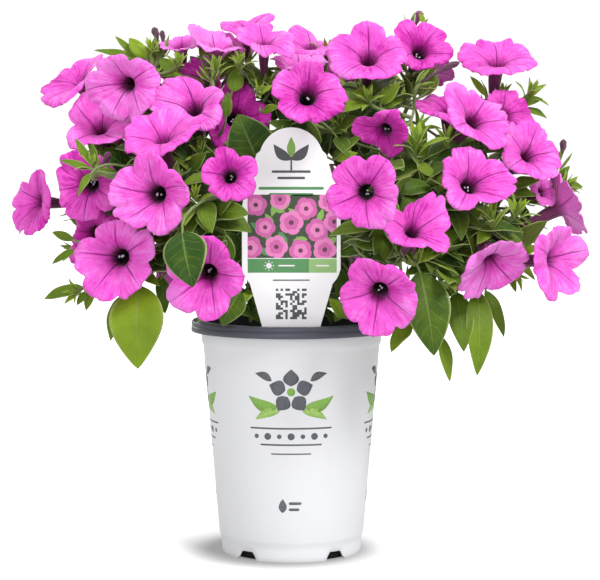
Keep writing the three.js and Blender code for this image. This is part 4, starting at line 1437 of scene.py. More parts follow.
def add_inner_leaves(bm, rng):
    """Broad leaves on stalks of their own, deep between the shoots, dark with painted shade."""
    leaves = settings("leaves")
    made = 0
    for _ in range(INNER_LEAF_TRIES):
        if made >= leaves.inner:
            break
        base = Vector((rng.uniform(-0.115, 0.115), rng.uniform(-0.07, 0.085), rng.uniform(0.126, 0.262)))
        depth = Vector((base.x / 0.12, base.y / 0.085, (base.z - 0.185) / 0.085)).length
        if depth > 1:
            continue
        outward = Vector((base.x, base.y, (base.z - 0.17) * 0.8)).normalized()
        stray = Vector([rng.gauss(0, 0.5) for _ in range(3)])
        way = (outward + stray + UP * 0.1).normalized()
        length = rng.uniform(0.021, 0.031)
        tip = base + way * length
        up = leaf_face(base, tip, UP * 0.5 + outward * 0.7 - VIEW_AHEAD * 0.35 + stray * 0.3)
        width = length * rng.uniform(0.48, 0.62)
        side = up.cross(way).normalized() * width * 0.5
        probes = [base + way * length * share for share in (0.0, 0.3, 0.6, 0.85, 1.0)]
        probes += [base + way * length * 0.5 + side, base + way * length * 0.5 - side]
        if not has_room(probes):
            continue
        # Their low tone is painted shade in the heart of the plant.
        tone = min(0.3, max(0.0, rng.gauss(0.08, 0.08)))
        add_blade(bm, base, tip, up, width, tone, rng, rows=8, columns=4,
                  arch=rng.uniform(0.04, 0.16), fold=rng.uniform(0.1, 0.3))
        Plant.strands.append((twig_strand(Plant.bearers, base + way * 0.0015, way), 0.0008, 0.0006))
        made += 1


def add_bud(bm, foot, tip, width, tone):
    """A closed bud: a slim tube that swells, then twists shut in a point."""
    axis = (tip - foot).normalized()
    length = (tip - foot).length
    side = axis.orthogonal().normalized()
    round_axis = cross_ways(axis, side)
    tone_of = bm.verts.layers.float["tone"]
    fan_of = bm.verts.layers.float_vector["fan"]
    before = set(bm.verts)
    spin_round(bm, *profile_chain(bm, BUD_PROFILE), BUD_STEPS)
    made = [vert for vert in bm.verts if vert not in before]
    bmesh.ops.remove_doubles(bm, verts=made, dist=1e-5)
    made = [vert for vert in bm.verts if vert not in before]
    for vert in made:
        height = vert.co.z
        radius = math.hypot(vert.co.x, vert.co.y)
        angle = math.atan2(vert.co.y, vert.co.x)
        radius *= 1 + 0.16 * math.cos(LOBES * angle) * smooth_share(0.4, 0.8, height)
        twisted = angle + 1.6 * smooth_share(0.6, 1.0, height)
        bend = 0.05 * length * math.sin(math.pi * height)
        vert[tone_of] = tone
        vert[fan_of] = Vector((math.cos(angle) * 4, math.sin(angle) * 4, height)) + foot * 90
        vert.co = foot + axis * height * length + side * bend + round_axis(twisted) * radius * width / 2
    faces = [face for face in bm.faces if face.verts[0] not in before]
    bmesh.ops.recalc_face_normals(bm, faces=faces)


# Ornaments printed on the pot and the label

def polygon(bm, points, slot):
    """A flat face in one of the inks, which looks up whatever way its points run."""
    face = bm.faces.new([bm.verts.new((x, y, 0)) for x, y in points])
    face.material_index = slot
    if clockwise(points):
        face.normal_flip()
    return face


def clockwise(points):
    """True if a closed outline's points run clockwise."""
    return sum(x0 * y1 - x1 * y0 for (x0, y0), (x1, y1) in zip(points, points[1:] + points[:1])) < 0


def disc(centre, radius, sides=24):
    """The corners of a round spot."""
    x, y = centre
    angles = [k * FULL_TURN / sides for k in range(sides)]
    return [(x + radius * math.cos(angle), y + radius * math.sin(angle)) for angle in angles]


def bar(centre, width, height):
    """A level rule with round ends."""
    x, y = centre
    end = height / 2
    right = [(x + width / 2 - end + end * math.cos(a), y + end * math.sin(a))
             for a in (math.radians(t) for t in range(-90, 91, 30))]
    left = [(2 * x - px, 2 * y - py) for px, py in right]
    return right + left


def leaf_outline(foot, tip, width, bend=0.0, count=8):
    """A pointed leaf from foot to tip."""
    fx, fy = foot
    dx, dy = tip[0] - fx, tip[1] - fy
    length = math.hypot(dx, dy)
    nx, ny = -dy / length, dx / length

    def point(share, side):
        half = width / 2 * math.sin(math.pi * share ** 0.8)
        sag = bend * length * math.sin(math.pi * share)
        return (fx + dx * share + nx * (side * half + sag), fy + dy * share + ny * (side * half + sag))

    shares = [k / count for k in range(1, count)]
    return [foot] + [point(s, -1) for s in shares] + [tip] + [point(s, 1) for s in reversed(shares)]


def flower_outline(centre, radius, turn, depth=0.16, sides=40):
    """A simple open flower with round lobes."""
    cx, cy = centre
    points = []
    for k in range(sides):
        angle = k * FULL_TURN / sides
        reach = radius * (1 - depth + depth * abs(math.cos(LOBES * angle / 2)) ** 0.6)
        points.append((cx + reach * math.cos(angle + turn), cy + reach * math.sin(angle + turn)))
    return points


def cut_strips(bm, step):
    """Cuts flat shapes into upright strips, so that they can follow a round wall."""
    low = min(v.co.x for v in bm.verts)
    high = max(v.co.x for v in bm.verts)
    x = low + step
    while x < high:
        everything = bm.verts[:] + bm.edges[:] + bm.faces[:]
        bmesh.ops.bisect_plane(bm, geom=everything, plane_co=(x, 0, 0), plane_no=(1, 0, 0))
        x += step


def pot_body_radius(z):
    """The radius of the pot's outer wall between its ledge and its shoulder."""
    pot = settings("pot")
    return lerp(pot.body_bottom, pot.body_top, (z - POT_LEDGE_TOP) / (POT_SHOULDER - POT_LEDGE_TOP))


class PETUNIA_OT_pot(bpy.types.Operator):
    """Nursery pot with its collar, ledge, foot and drain notches"""
    bl_idname = "petunia.pot"
    bl_label = "Pot"
    bl_options = UNDOABLE

    FOOT_INSIDE = 0.037
    NOTCH_WIDTHS = (0.0036, 0.0066)
    NOTCH_HEIGHT = 0.0044
    NOTCH_DRAW = 0.05
    # A near-black ring of painted shade under the pot's floor
    UNDER_RING = ((0.0345, 0.0003), (0.0362, 0.0003), (0.0362, 0.0054), (0.0345, 0.0054))

    def profile(self):
        """The wall's outline as (radius, height), up the outside and down the inside."""
        pot = settings("pot")
        wall, top = pot.wall, POT_HIGH.z
        rim = POT_HIGH.x
        collar = top - pot.rim_height
        lip = pot.body_top + 0.001
        foot = pot.foot_radius
        low, high = pot.body_bottom, pot.body_top
        floor_bottom, floor_top = POT_FLOOR
        return (
            (foot - wall, 0.0), (foot - 0.0002, 0.0), (foot, 0.0003), (foot + 0.0001, 0.0025),
            (foot + 0.0002, 0.005), (foot + 0.0003, POT_FOOT_TOP), (foot + 0.0005, 0.0082),
            (low - 0.0003, 0.0102), (low, 0.0112),
            *((lerp(low, high, share), lerp(POT_LEDGE_TOP, POT_SHOULDER, share)) for share in (0.35, 0.7)),
            (high - 0.00008, POT_SHOULDER - 0.001), (high + 0.0001, POT_SHOULDER + 0.0003),
            (lip - 0.0002, POT_SHOULDER + 0.0018), (lip, POT_SHOULDER + 0.0028), (lip, collar + 0.0004),
            (lip, top - 0.0013), (rim - 0.0018, top - 0.0013), (rim - 0.0011, collar + 0.0008),
            (rim - 0.0009, collar + 0.0001), (rim - 0.0003, collar), (rim, collar + 0.0005),
            (rim - 0.0001, collar + 0.003), (rim - 0.0006, collar + 0.0034), (rim - 0.0006, collar + 0.0038),
            (rim - 0.0001, collar + 0.0042), (rim - 0.0002, top - 0.0009), (rim - 0.0008, top - 0.0001),
            (rim - 0.0022, top), (lip - wall + 0.0009, top), (lip - wall + 0.0001, top - 0.0006),
            (lip - wall, POT_SHOULDER + 0.0025), (high - wall, POT_SHOULDER - 0.0005),
            (low - wall, POT_LEDGE_TOP), (foot - wall - 0.0003, floor_top), (0.0, floor_top),
            (0.0, floor_bottom), (foot - wall - 0.0003, floor_bottom), (foot - wall, 0.0028),
        )

    def open_notches(self, bm):
        """Lifts the foot's edge at the drain notches and draws the wall in around them."""
        foot_top = POT_FOOT_TOP
        for vert in bm.verts:
            radius = math.hypot(vert.co.x, vert.co.y)
            if vert.co.z >= foot_top or radius < self.FOOT_INSIDE:
                continue
            angle = math.degrees(math.atan2(vert.co.x, -vert.co.y))
            from_notch = min(abs((angle - centre + 180) % 360 - 180) for centre in POT_NOTCHES)
            aside = math.radians(from_notch) * radius
            share = 1 - smooth_share(*self.NOTCH_WIDTHS, aside)
            lift = self.NOTCH_HEIGHT * share
            vert.co.z = lift + vert.co.z * (1 - lift / foot_top)
            pull = 1 - self.NOTCH_DRAW * share * (1 - vert.co.z / foot_top)
            vert.co.x *= pull
            vert.co.y *= pull

    def execute(self, context):
        pot = settings("pot")
        bm = bmesh.new()
        spin_round(bm, *profile_chain(bm, self.profile(), closed=True), POT_STEPS)
        bmesh.ops.remove_doubles(bm, verts=bm.verts, dist=1e-6)
        bmesh.ops.dissolve_degenerate(bm, edges=bm.edges, dist=1e-7)
        bmesh.ops.recalc_face_normals(bm, faces=bm.faces)
        for face in bm.faces:
            centre = face.calc_center_median()
            outside = face.normal.dot(Vector((centre.x, centre.y, 0))) > 0
            body = centre.z < POT_HIGH.z - pot.rim_height + 0.001 and math.hypot(centre.x, centre.y) < 0.0515
            face.material_index = 0 if outside and body else 1
        self.open_notches(bm)
        mesh = mesh_of("nursery_pot", bm)
        # The pot's body gives off a little painted light, which lifts the plant's shadow on it.
        white = plastic_material("pot_white", pot.white, 0.4, 0.03, 0.1)
        slate = plastic_material("pot_slate", pot.slate, 0.38, 0.12)
        piece = add_piece("nursery_pot", mesh, [white, slate], ["pot"])
        piece.modifiers.new("Edges", "EDGE_SPLIT").split_angle = math.radians(50)
        self.add_painted_shade_ring()
        return {"FINISHED"}

    def add_painted_shade_ring(self):
        """A near-black ring under the pot: painted shade that closes the view through the drain notches."""
        bm = bmesh.new()
        spin_round(bm, *profile_chain(bm, self.UNDER_RING, closed=True), POT_STEPS // 2)
        bmesh.ops.recalc_face_normals(bm, faces=bm.faces)
        dark = plastic_material("pot_under", srgb(3, 3, 4), 0.8, 0.1)
        add_piece("pot_under_ring", mesh_of("pot_under_ring", bm), [dark])


class PETUNIA_OT_pot_print(bpy.types.Operator):
    """Ornament printed four times round the pot"""
    bl_idname = "petunia.pot_print"
    bl_label = "Pot ornament"
    bl_options = UNDOABLE

    def draw_ornament(self, bm):
        """An open flower between leaves, over rules and dots, in millimetres about the print's middle."""
        dark, green, light = 0, 1, 2
        heart = (0.0, 11.0)
        for k in range(LOBES):
            angle = math.radians(90 + k * 360 / LOBES)
            tip = (heart[0] + 12.5 * math.cos(angle), heart[1] + 12.5 * math.sin(angle))
            near = (heart[0] + 3.2 * math.cos(angle), heart[1] + 3.2 * math.sin(angle))
            polygon(bm, leaf_outline(near, tip, 8.6, count=12), dark)
        polygon(bm, disc(heart, 2.2), green)
        for side in (-1, 1):
            polygon(bm, leaf_outline((side * 7, 2.5), (side * 24, 8.5), 6.5, side * -0.12), green)
            polygon(bm, leaf_outline((side * 6, 0.5), (side * 20, -4.5), 5.0, side * 0.1), light)
            polygon(bm, leaf_outline((side * 10.5, 17), (side * 20, 21), 4.2, side * 0.1), dark)
        polygon(bm, bar((0, -9.0), 46, 0.9), dark)
        for k in range(-3, 4):
            polygon(bm, disc((k * 6.4, -13.4), 1.25 if k % 2 else 1.9, 16), dark)
        polygon(bm, bar((0, -18.0), 34, 0.9), dark)
        polygon(bm, bar((0, -23.0), 22, 0.7), dark)
        foot = -52.0
        polygon(bm, leaf_outline((-4.6, foot - 3.6), (-4.6, foot + 4.2), 4.4), dark)
        polygon(bm, bar((2.2, foot + 1.7), 7.0, 1.5), dark)
        polygon(bm, bar((1.6, foot - 1.7), 5.8, 1.5), dark)

    def execute(self, context):
        pot = settings("pot")
        bm = bmesh.new()
        self.draw_ornament(bm)
        bm.transform(Matrix.Scale(MM, 4))
        bmesh.ops.triangulate(bm, faces=bm.faces)
        cut_strips(bm, 0.0022)
        first = bm.faces[:]
        for turn in (90, 180, 270):
            for item in bmesh.ops.duplicate(bm, geom=first)["geom"]:
                if isinstance(item, bmesh.types.BMVert):
                    item.co.z = turn
        for vert in bm.verts:
            turn = math.radians(round(vert.co.z))
            height = PRINT_MIDDLE + vert.co.y
            radius = pot_body_radius(height) + PRINT_PROUD
            angle = vert.co.x / radius + turn
            vert.co = Vector((math.sin(angle) * radius, -math.cos(angle) * radius, height))
        bmesh.ops.recalc_face_normals(bm, faces=bm.faces)
        for face in bm.faces:
            centre = face.calc_center_median()
            if face.normal.dot(Vector((centre.x, centre.y, 0))) < 0:
                face.normal_flip()
        inks = [
            ink_material("pot_ink_dark", pot.print_dark),
            ink_material("pot_ink_green", pot.print_green),
            ink_material("pot_ink_light", srgb(158, 200, 96)),
        ]
        piece = add_piece("pot_ornament", mesh_of("pot_ornament", bm), inks)
        thicken(piece, 0.00006)
        return {"FINISHED"}


class PETUNIA_OT_soil(bpy.types.Operator):
    """Crumbly potting mix with grains of perlite"""
    bl_idname = "petunia.soil"
    bl_label = "Potting mix"
    bl_options = UNDOABLE

    def execute(self, context):
        rng = random.Random(SEEDS["soil"])
        bm = bmesh.new()
        low, high = SOIL_LOW.z, SOIL_HIGH.z
        edge = SOIL_HIGH.x
        rings = 16
        profile = [(0, low), (SOIL_FOOT, low), (edge - 0.0006, high - 0.0016), (edge - 0.001, high)]
        profile += [(edge * (1 - k / rings), high) for k in range(1, rings + 1)]
        spin_round(bm, *profile_chain(bm, profile), SOIL_STEPS)
        bmesh.ops.remove_doubles(bm, verts=bm.verts, dist=1e-6)
        for vert in bm.verts:
            if vert.co.z > high - 0.002:
                lumps = noise.fractal(vert.co * 130, 1.0, 2.0, 3)
                vert.co.z += 0.0016 * lumps - 0.0012 * (vert.co.xy.length / edge) ** 2
        bmesh.ops.recalc_face_normals(bm, faces=bm.faces)
        mix = soil_material()
        add_piece("potting_mix", mesh_of("potting_mix", bm), [mix], ["potting_soil"])
        grains = bmesh.new()
        for _ in range(SOIL_GRAINS):
            radius = edge * math.sqrt(rng.random()) * 0.96
            angle = rng.uniform(0, FULL_TURN)
            size = rng.uniform(0.0006, 0.0017)
            spot = Vector((math.cos(angle) * radius, math.sin(angle) * radius, high + 0.0002))
            if abs(spot.y - LABEL_LOW.y) < 0.0025 and abs(spot.x) < 0.016:
                continue
            before = len(grains.faces)
            place = Matrix.Translation(spot)
            made = bmesh.ops.create_icosphere(grains, subdivisions=1, radius=size, matrix=place)["verts"]
            for vert in made:
                vert.co += (vert.co - spot) * rng.uniform(-0.3, 0.3)
            grains.faces.ensure_lookup_table()
            slot = int(rng.random() < PERLITE_SHARE)
            for face in grains.faces[before:]:
                face.material_index = slot
        white, shader, surface = new_material("perlite", 0.9)
        grain = shader.noise(shader.place(), 900.0)
        shader.feed(surface["Base Color"], shader.mix(grain, srgb(196, 194, 186), srgb(240, 240, 236)))
        add_piece("soil_grains", mesh_of("soil_grains", grains, smooth=False), [mix, white])
        return {"FINISHED"}


class PETUNIA_OT_label(bpy.types.Operator):
    """Plant label of white plastic, pushed into the soil in front"""
    bl_idname = "petunia.label"
    bl_label = "Plant label"
    bl_options = UNDOABLE

    PICTURE = ((-23.4, 166.5), (24.4, 200.5))
    PICTURE_FLOWERS = (
        (-19, 195), (-6, 198), (8, 193), (20, 197), (-14, 183), (0, 185.5), (14, 181.5), (23, 186),
        (-22, 172), (-8, 172.5), (5, 170.5), (18, 171),
    )
    STAKE = (
        (0, 78), (4, 86), (6.5, 97), (15.5, 128.8), (22.3, 152.7), (24.2, 155.0), (25.5, 157.4),
        (26.5, 160.5), (26.5, 191.5), (26.3, 194.5), (25.6, 198.5), (18.6, 222.2),
    )

    def outline(self):
        head = settings("label").head_radius / MM
        top = LABEL_HIGH.z / MM
        right = list(self.STAKE)
        right += [(head * math.cos(math.radians(t)), top - head + head * math.sin(math.radians(t)))
                  for t in range(16, 90, 6)]
        left = [(-x, z) for x, z in reversed(right[1:])]
        return right + [(0, top)] + left

    def execute(self, context):
        label = settings("label")
        bm = bmesh.new()
        centre = (LABEL_LOW.x + LABEL_HIGH.x) / 2
        front, back = LABEL_LOW.y, LABEL_HIGH.y
        face = bm.faces.new([bm.verts.new((centre + x * MM, back, z * MM)) for x, z in self.outline()])
        grown = bmesh.ops.extrude_face_region(bm, geom=[face])["geom"]
        corners = [item for item in grown if isinstance(item, bmesh.types.BMVert)]
        bmesh.ops.translate(bm, vec=(0, front - back, 0), verts=corners)
        bmesh.ops.recalc_face_normals(bm, faces=bm.faces)
        rims = [edge for edge in bm.edges if edge.calc_face_angle(0) > math.radians(60)]
        bmesh.ops.bevel(bm, geom=rims, offset=0.00018, segments=2, profile=0.5, affect="EDGES", material=-1)
        # The label gives off painted light, which lifts the shade of the flowers round its head.
        plastic = plastic_material("label_white", label.white, 0.35, 0.02, 0.17)
        mesh = mesh_of("plant_tag", bm, smooth=False)
        add_piece("plant_tag", mesh, [plastic], ["plant_label"])
        self.add_print(centre, front)
        return {"FINISHED"}

    def add_print(self, centre, front):
        """Ornaments on the label's face: a seedling, a pattern of flowers, a band and a field of blocks."""
        label = settings("label")
        rng = random.Random(SEEDS["label"])
        inks = [
            ink_material("ink_slate", srgb(72, 76, 82)),
            ink_material("ink_band", label.band),
            ink_material("ink_leaf", srgb(132, 182, 74)),
            ink_material("ink_shade", srgb(46, 66, 34)),
            ink_material("ink_pink", srgb(236, 132, 196)),
            ink_material("ink_rose", srgb(214, 96, 172)),
            ink_material("ink_eye", srgb(96, 30, 70)),
            ink_material("ink_pale", srgb(247, 240, 246)),
            ink_material("ink_lime", srgb(150, 196, 120)),
        ]
        slate, band, leaf, shade, pink, rose, eye, pale, lime = range(9)
        bm = bmesh.new()

        def put(points, slot, level):
            for vert in polygon(bm, points, slot).verts:
                vert.co.z = level

        def put_box(low, high, slot, level):
            put([low, (high[0], low[1]), high, (low[0], high[1])], slot, level)

        (x0, z0), (x1, z1) = self.PICTURE
        put_box((x0, z0), (x1, z1), shade, 1)
        for k in range(26):
            foot = (rng.uniform(x0, x1), rng.uniform(z0, z1))
            angle = rng.uniform(0, FULL_TURN)
            tip = (foot[0] + 8 * math.cos(angle), foot[1] + 8 * math.sin(angle))
            put(leaf_outline(foot, tip, 3.6, count=5), leaf if k % 3 else band, 2 + 0.02 * k)
        for k, spot in enumerate(self.PICTURE_FLOWERS):
            radius = rng.uniform(5.6, 6.8)
            turn = rng.uniform(0, FULL_TURN)
            put(flower_outline(spot, radius, turn), pink if k % 2 else rose, 3 + 0.1 * k)
            put(flower_outline(spot, radius * 0.62, turn + 0.3), rose if k % 2 else pink, 3.03 + 0.1 * k)
            put(disc(spot, radius * 0.2, 14), eye, 3.06 + 0.1 * k)
        for plane_co, plane_no in (((x0, 0, 0), (-1, 0, 0)), ((x1, 0, 0), (1, 0, 0)),
                                   ((0, z0, 0), (0, -1, 0)), ((0, z1, 0), (0, 1, 0))):
            bmesh.ops.bisect_plane(bm, geom=bm.verts[:] + bm.edges[:] + bm.faces[:], plane_co=plane_co,
                                   plane_no=plane_no, clear_outer=True)
        put_box((x0, 158.6), (x1, 166.1), band, 1)
        put_box((9.5, 158.6), (x1, 166.1), lime, 2)
        put(disc((-12, 162.4), 1.5, 18), pale, 2)
        for near, far in zip(disc((-12, 162.4), 1.9, 8), disc((-12, 162.4), 2.9, 8)):
            put(leaf_outline(near, far, 0.6, count=3), pale, 2)
        put(bar((-2.5, 162.4), 9, 0.8), pale, 2)
        put(bar((16.8, 162.4), 7, 0.8), pale, 3)
        put(bar((0, 154.6), 20, 0.7), slate, 1)
        cells, cell = 13, 1.27
        for row in range(cells):
            for column in range(cells):
                if rng.random() < 0.5:
                    left = (column - cells / 2) * cell
                    low = 141.8 + (row - cells / 2) * cell
                    put_box((left, low), (left + cell, low + cell), slate, 1)
        self.draw_mark(put, slate, leaf, band)
        for vert in bm.verts:
            level = vert.co.z
            vert.co = Vector((centre + vert.co.x * MM, front - 0.00004 - level * 0.00001, vert.co.y * MM))
        for face in bm.faces:
            face.normal_update()
            if face.normal.y > 0:
                face.normal_flip()
        piece = add_piece("label_print", mesh_of("label_print", bm, smooth=False), inks)
        thicken(piece, 0.000008)

    def draw_mark(self, put, slate, leaf, band):
        """A seedling in the round head, with two dark and two green rules beneath it."""
        put(leaf_outline((0, 219), (-9.5, 227.5), 5.4, 0.1), slate, 1)
        put(leaf_outline((0, 219), (9.5, 227.5), 5.4, -0.1), slate, 1)
        put(leaf_outline((0, 220.5), (0, 231.5), 4.6), leaf, 2)
        put([(-0.5, 213.5), (0.5, 213.5), (0.4, 222), (-0.4, 222)], slate, 1.5)
        put(bar((0, 212.8), 21, 1.3), slate, 1)
        put(bar((0, 209.4), 15, 1.3), slate, 1)
        put(bar((0, 203.9), 35, 1.5), band, 1)
        put(bar((0, 200.6), 24, 1.5), band, 1)


class PETUNIA_OT_stems(bpy.types.Operator):
    """Main shoots with the stalks of their flowers"""
    bl_idname = "petunia.stems"
    bl_label = "Stems"
    bl_options = UNDOABLE

    def execute(self, context):
        Plant.materials["stem"] = stem_material()
        for name in sorted(NODES):
            if not name.startswith("shoot_"):
                continue
            mesh = mesh_of("stem_" + name[6:], merged_node(name))
            piece = add_piece(mesh.name, mesh, [Plant.materials["stem"]], [name])
            rounding = piece.modifiers.new("Rounding", "SUBSURF")
            rounding.levels = rounding.render_levels = 1
        Plant.bearers = Bearers()
        return {"FINISHED"}


class PETUNIA_OT_flowers(bpy.types.Operator):
    """Open flowers with their veins, dark throats and anthers"""
    bl_idname = "petunia.flowers"
    bl_label = "Flowers"
    bl_options = UNDOABLE

    def execute(self, context):
        veins = petal_veins_group()
        faces = [petal_material(veins), petal_back_material(veins)]
        Plant.blooms = all_blooms()
        for index, bloom in enumerate(Plant.blooms):
            rng = random.Random(SEEDS["flowers"] + index)
            nodes = [bloom.name] if bloom.node else []
            mesh = corolla_mesh(bloom, rng)
            mesh.name = "bloom_" + bloom.name[7:]
            piece = add_piece(mesh.name, mesh, faces, nodes)
            thicken(piece, settings("flowers").thickness, back_slot=1)
            if not bloom.node:
                strand = twig_strand(Plant.bearers, bloom.foot() - bloom.axis * 0.0003, bloom.axis)
                Plant.strands.append((strand, 0.001, 0.0018))
        add_anthers(Plant.blooms, random.Random(SEEDS["anthers"]))
        return {"FINISHED"}


class PETUNIA_OT_leaves(bpy.types.Operator):
    """Leaves that show, shoot tips, calyxes and the small leaves between them"""
    bl_idname = "petunia.leaves"
    bl_label = "Leaves"
    bl_options = UNDOABLE

    def add_sheet(self, name, bm, nodes=()):
        piece = add_piece(name, mesh_of(name, bm), Plant.materials["leaf"], nodes)
        thicken(piece, settings("leaves").thickness, back_slot=1)
        return piece

    def bear(self, base, tip):
        """Joins a leaf to the nearest stem by its stalk."""
        way = (tip - base).normalized()
        Plant.strands.append((twig_strand(Plant.bearers, base + way * 0.0015, way), 0.0009, 0.0006))

    def execute(self, context):
        veins = leaf_veins_group()
        Plant.materials["leaf"] = [
            leaf_material("leaf", veins, 0.0),
            leaf_material("leaf_underside", veins, 1.0),
        ]
        for index, (node, base, near, tip, far, width, face, tone) in enumerate(NODE_LEAVES):
            rng = random.Random(SEEDS["node_leaves"] + index)
            start, end = seen(base, near), seen(tip, far)
            bm = leaf_sheet()
            add_blade(bm, start, end, leaf_face(start, end, looking(*face)), width * MM, tone, rng,
                      rows=22, columns=12, arch=0.12, fold=0.12, wave=0.06)
            self.add_sheet("blade_" + node[5:], bm, [node])
            self.bear(start, end)
        bm = leaf_sheet()
        for index, (base, near, tip, far, width, face, tone) in enumerate(SEEN_LEAVES):
            rng = random.Random(SEEDS["seen_leaves"] + index)
            start, end = seen(base, near), seen(tip, far)
            add_blade(bm, start, end, leaf_face(start, end, looking(*face)), width * MM, tone, rng,
                      rows=14, columns=6, arch=0.08)
            self.bear(start, end)
        self.add_sheet("leaves_in_front", bm)
        bm = leaf_sheet()
        tips = [(seen(place, forward), *rest) for place, forward, *rest in SHOOT_TIPS]
        tips += [(Vector(place), *rest) for place, *rest in FAR_SHOOT_TIPS]
        for index, (centre, heading, size, count, tone) in enumerate(tips):
            way = looking(*heading)
            Plant.tufts.append((centre + way * size * MM * 0.35, size * MM * 0.85))
            rng = random.Random(SEEDS["shoot_tips"] + index)
            add_tuft(bm, centre, way, size * MM, count, tone, rng)
            strand = twig_strand(Plant.bearers, centre + way * size * MM * 0.2, way)
            Plant.strands.append((strand, 0.0013, 0.0011))
        self.add_sheet("shoot_tips", bm)
        bm = leaf_sheet()
        rng = random.Random(SEEDS["calyxes"])
        for bloom in Plant.blooms:
            add_calyx(bm, bloom, rng)
        self.add_sheet("calyxes", bm)
        for strand, _, _ in Plant.strands:
            ahead = [(b - a).normalized() for a, b in zip(strand, strand[1:])]
            Plant.bearers.points += [(p, a.orthogonal().normalized()) for p, a in zip(strand[1:-1], ahead)]
        bm = leaf_sheet()
        add_inner_leaves(bm, random.Random(SEEDS["inner_leaves"]))
        self.add_sheet("inner_leaves", bm)
        bm = leaf_sheet()
        add_small_leaves(bm, random.Random(SEEDS["small_leaves"]))
        self.add_sheet("small_leaves", bm)
        return {"FINISHED"}


class PETUNIA_OT_buds(bpy.types.Operator):
    """Closed buds on their stalks, and every stalk that has no node"""
    bl_idname = "petunia.buds"
    bl_label = "Buds and stalks"
    bl_options = UNDOABLE

    def execute(self, context):
        bm = bmesh.new()
        bm.verts.layers.float.new("tone")
        bm.verts.layers.float_vector.new("fan")
        green = leaf_sheet()
        buds = [(seen(foot, near), seen(tip, far), *rest) for foot, near, tip, far, *rest in SEEN_BUDS]
        buds += [(Vector(foot), Vector(tip), *rest) for foot, tip, *rest in FAR_BUDS]
        rng = random.Random(SEEDS["buds"])
        for foot, tip, width, tone in buds:
            add_bud(bm, foot, tip, width * MM, tone)
            way = (tip - foot).normalized()
            holder = Bloom("bud", foot + way * TUBE_LENGTH * BUD_CALYX, way, BUD_CALYX)
            add_calyx(green, holder, rng)
            Plant.strands.append((twig_strand(Plant.bearers, foot + way * 0.0005, way), 0.0009, 0.0012))
        add_piece("buds", mesh_of("buds", bm), [bud_material()])
        piece = add_piece("bud_calyxes", mesh_of("bud_calyxes", green), Plant.materials["leaf"])
        thicken(piece, settings("leaves").thickness, back_slot=1)
        add_strands("stalks", Plant.strands, Plant.materials["stem"])
        return {"FINISHED"}


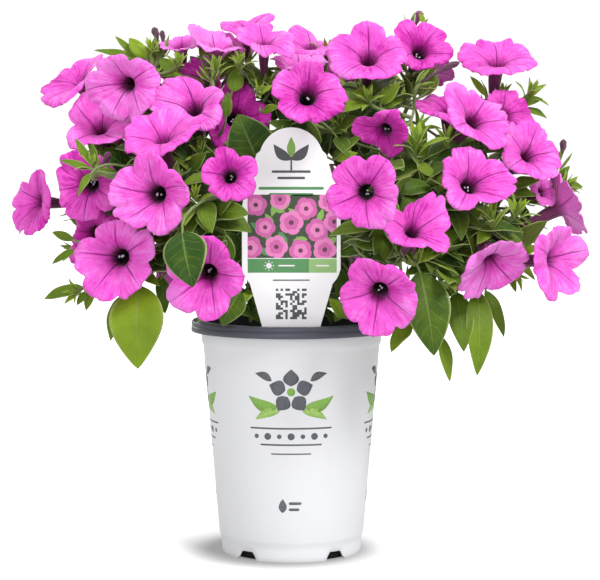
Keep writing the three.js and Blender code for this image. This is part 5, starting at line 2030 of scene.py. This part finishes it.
class PETUNIA_OT_stage(bpy.types.Operator):
    """White floor with a painted shadow round the pot's foot, soft studio light and the camera"""
    bl_idname = "petunia.stage"
    bl_label = "Stage"
    bl_options = UNDOABLE

    def add_sun(self, name, way, spread, strength):
        """An even light that comes from a direction, spread over a wide angle in degrees."""
        light = bpy.data.lights.new(name, "SUN")
        light.angle = math.radians(spread)
        light.energy = strength
        lamp = bpy.data.objects.new(name, light)
        lamp.rotation_euler = (-Vector(way)).to_track_quat("-Z", "Y").to_euler()
        bpy.context.scene.collection.objects.link(lamp)

    def execute(self, context):
        scene = bpy.context.scene
        studio = settings("studio")
        bm = bmesh.new()
        bmesh.ops.create_circle(bm, cap_ends=True, segments=96, radius=6.0)
        floor = bpy.data.objects.new("floor", mesh_of("floor", bm, smooth=False))
        scene.collection.objects.link(floor)
        material, shader, surface = new_material("floor", 0.9, Specular_IOR_Level=0.0, Emission_Strength=1.0)
        place = shader.place()
        grain = shader.noise(place, 40.0, 2.0)
        gap = shader.add("ShaderNodeVectorMath", place, (-0.005, 0.0, 0.0), output=1, operation="DISTANCE")
        plain = shader.mix(grain, grey(186), grey(190))
        # Near the pot's foot, a little left of its axis, the floor darkens and its light for the camera
        # falls: a painted contact shadow.
        shader.feed(surface["Base Color"], shader.mix(shader.ramp(gap, 0.038, 0.058), grey(120), plain))
        painted_glow = shader.ramp(gap, 0.038, 0.08, 0.24, 0.8)
        direct_look = shader.add("ShaderNodeLightPath")
        shader.feed(surface["Emission Color"], shader.mix(direct_look, grey(110), painted_glow))
        floor.data.materials.append(material)
        world = bpy.data.worlds.new("studio")
        scene.world = world
        world.use_nodes = True
        nodes = world.node_tree.nodes
        background = nodes["Background"]
        background.inputs["Color"].default_value = (1, 1, 1, 1)
        sky = Shader(world.node_tree)
        path = nodes.new("ShaderNodeLightPath").outputs["Is Camera Ray"]
        sky.feed(background.inputs["Strength"], sky.scaled(path, 1.1 - studio.sky, studio.sky))
        for name, way, spread in SUNS:
            self.add_sun(name, way, spread, getattr(studio, name))
        camera = bpy.data.cameras.new("camera")
        camera.sensor_width = 36
        camera.lens = FOCAL / VIEW_WIDTH * camera.sensor_width
        camera.clip_start = 0.05
        camera.clip_end = 50
        viewer = bpy.data.objects.new("camera", camera)
        viewer.location = EYE
        viewer.rotation_euler = (math.pi / 2 - EYE_PITCH, 0, 0)
        scene.collection.objects.link(viewer)
        scene.camera = viewer
        scene.view_settings.view_transform = "Standard"
        return {"FINISHED"}


class PETUNIA_PT_panel(bpy.types.Panel):
    """The petunia's pieces, in the order in which they are made"""
    bl_label = "Petunia"
    bl_idname = "PETUNIA_PT_panel"
    bl_space_type = "VIEW_3D"
    bl_region_type = "UI"
    bl_category = "Petunia"

    def draw(self, context):
        for name in STEPS:
            self.layout.operator("petunia." + name)


STEPS = ("pot", "pot_print", "soil", "label", "stems", "flowers", "leaves", "buds", "stage")
SETTING_GROUPS = {
    "pot": PetuniaPotSettings,
    "flowers": PetuniaFlowerSettings,
    "leaves": PetuniaLeafSettings,
    "label": PetuniaLabelSettings,
    "studio": PetuniaStudioSettings,
}
CLASSES = (
    *SETTING_GROUPS.values(), PETUNIA_OT_pot, PETUNIA_OT_pot_print, PETUNIA_OT_soil, PETUNIA_OT_label,
    PETUNIA_OT_stems, PETUNIA_OT_flowers, PETUNIA_OT_leaves, PETUNIA_OT_buds, PETUNIA_OT_stage,
    PETUNIA_PT_panel,
)


def register():
    for item in CLASSES:
        bpy.utils.register_class(item)
    for name, group in SETTING_GROUPS.items():
        setattr(bpy.types.Scene, "petunia_" + name, PointerProperty(type=group))


def unregister():
    for name in SETTING_GROUPS:
        delattr(bpy.types.Scene, "petunia_" + name)
    for item in reversed(CLASSES):
        bpy.utils.unregister_class(item)


def main():
    register()
    for name in STEPS:
        getattr(bpy.ops.petunia, name)()


if __name__ == "__main__":
    main()
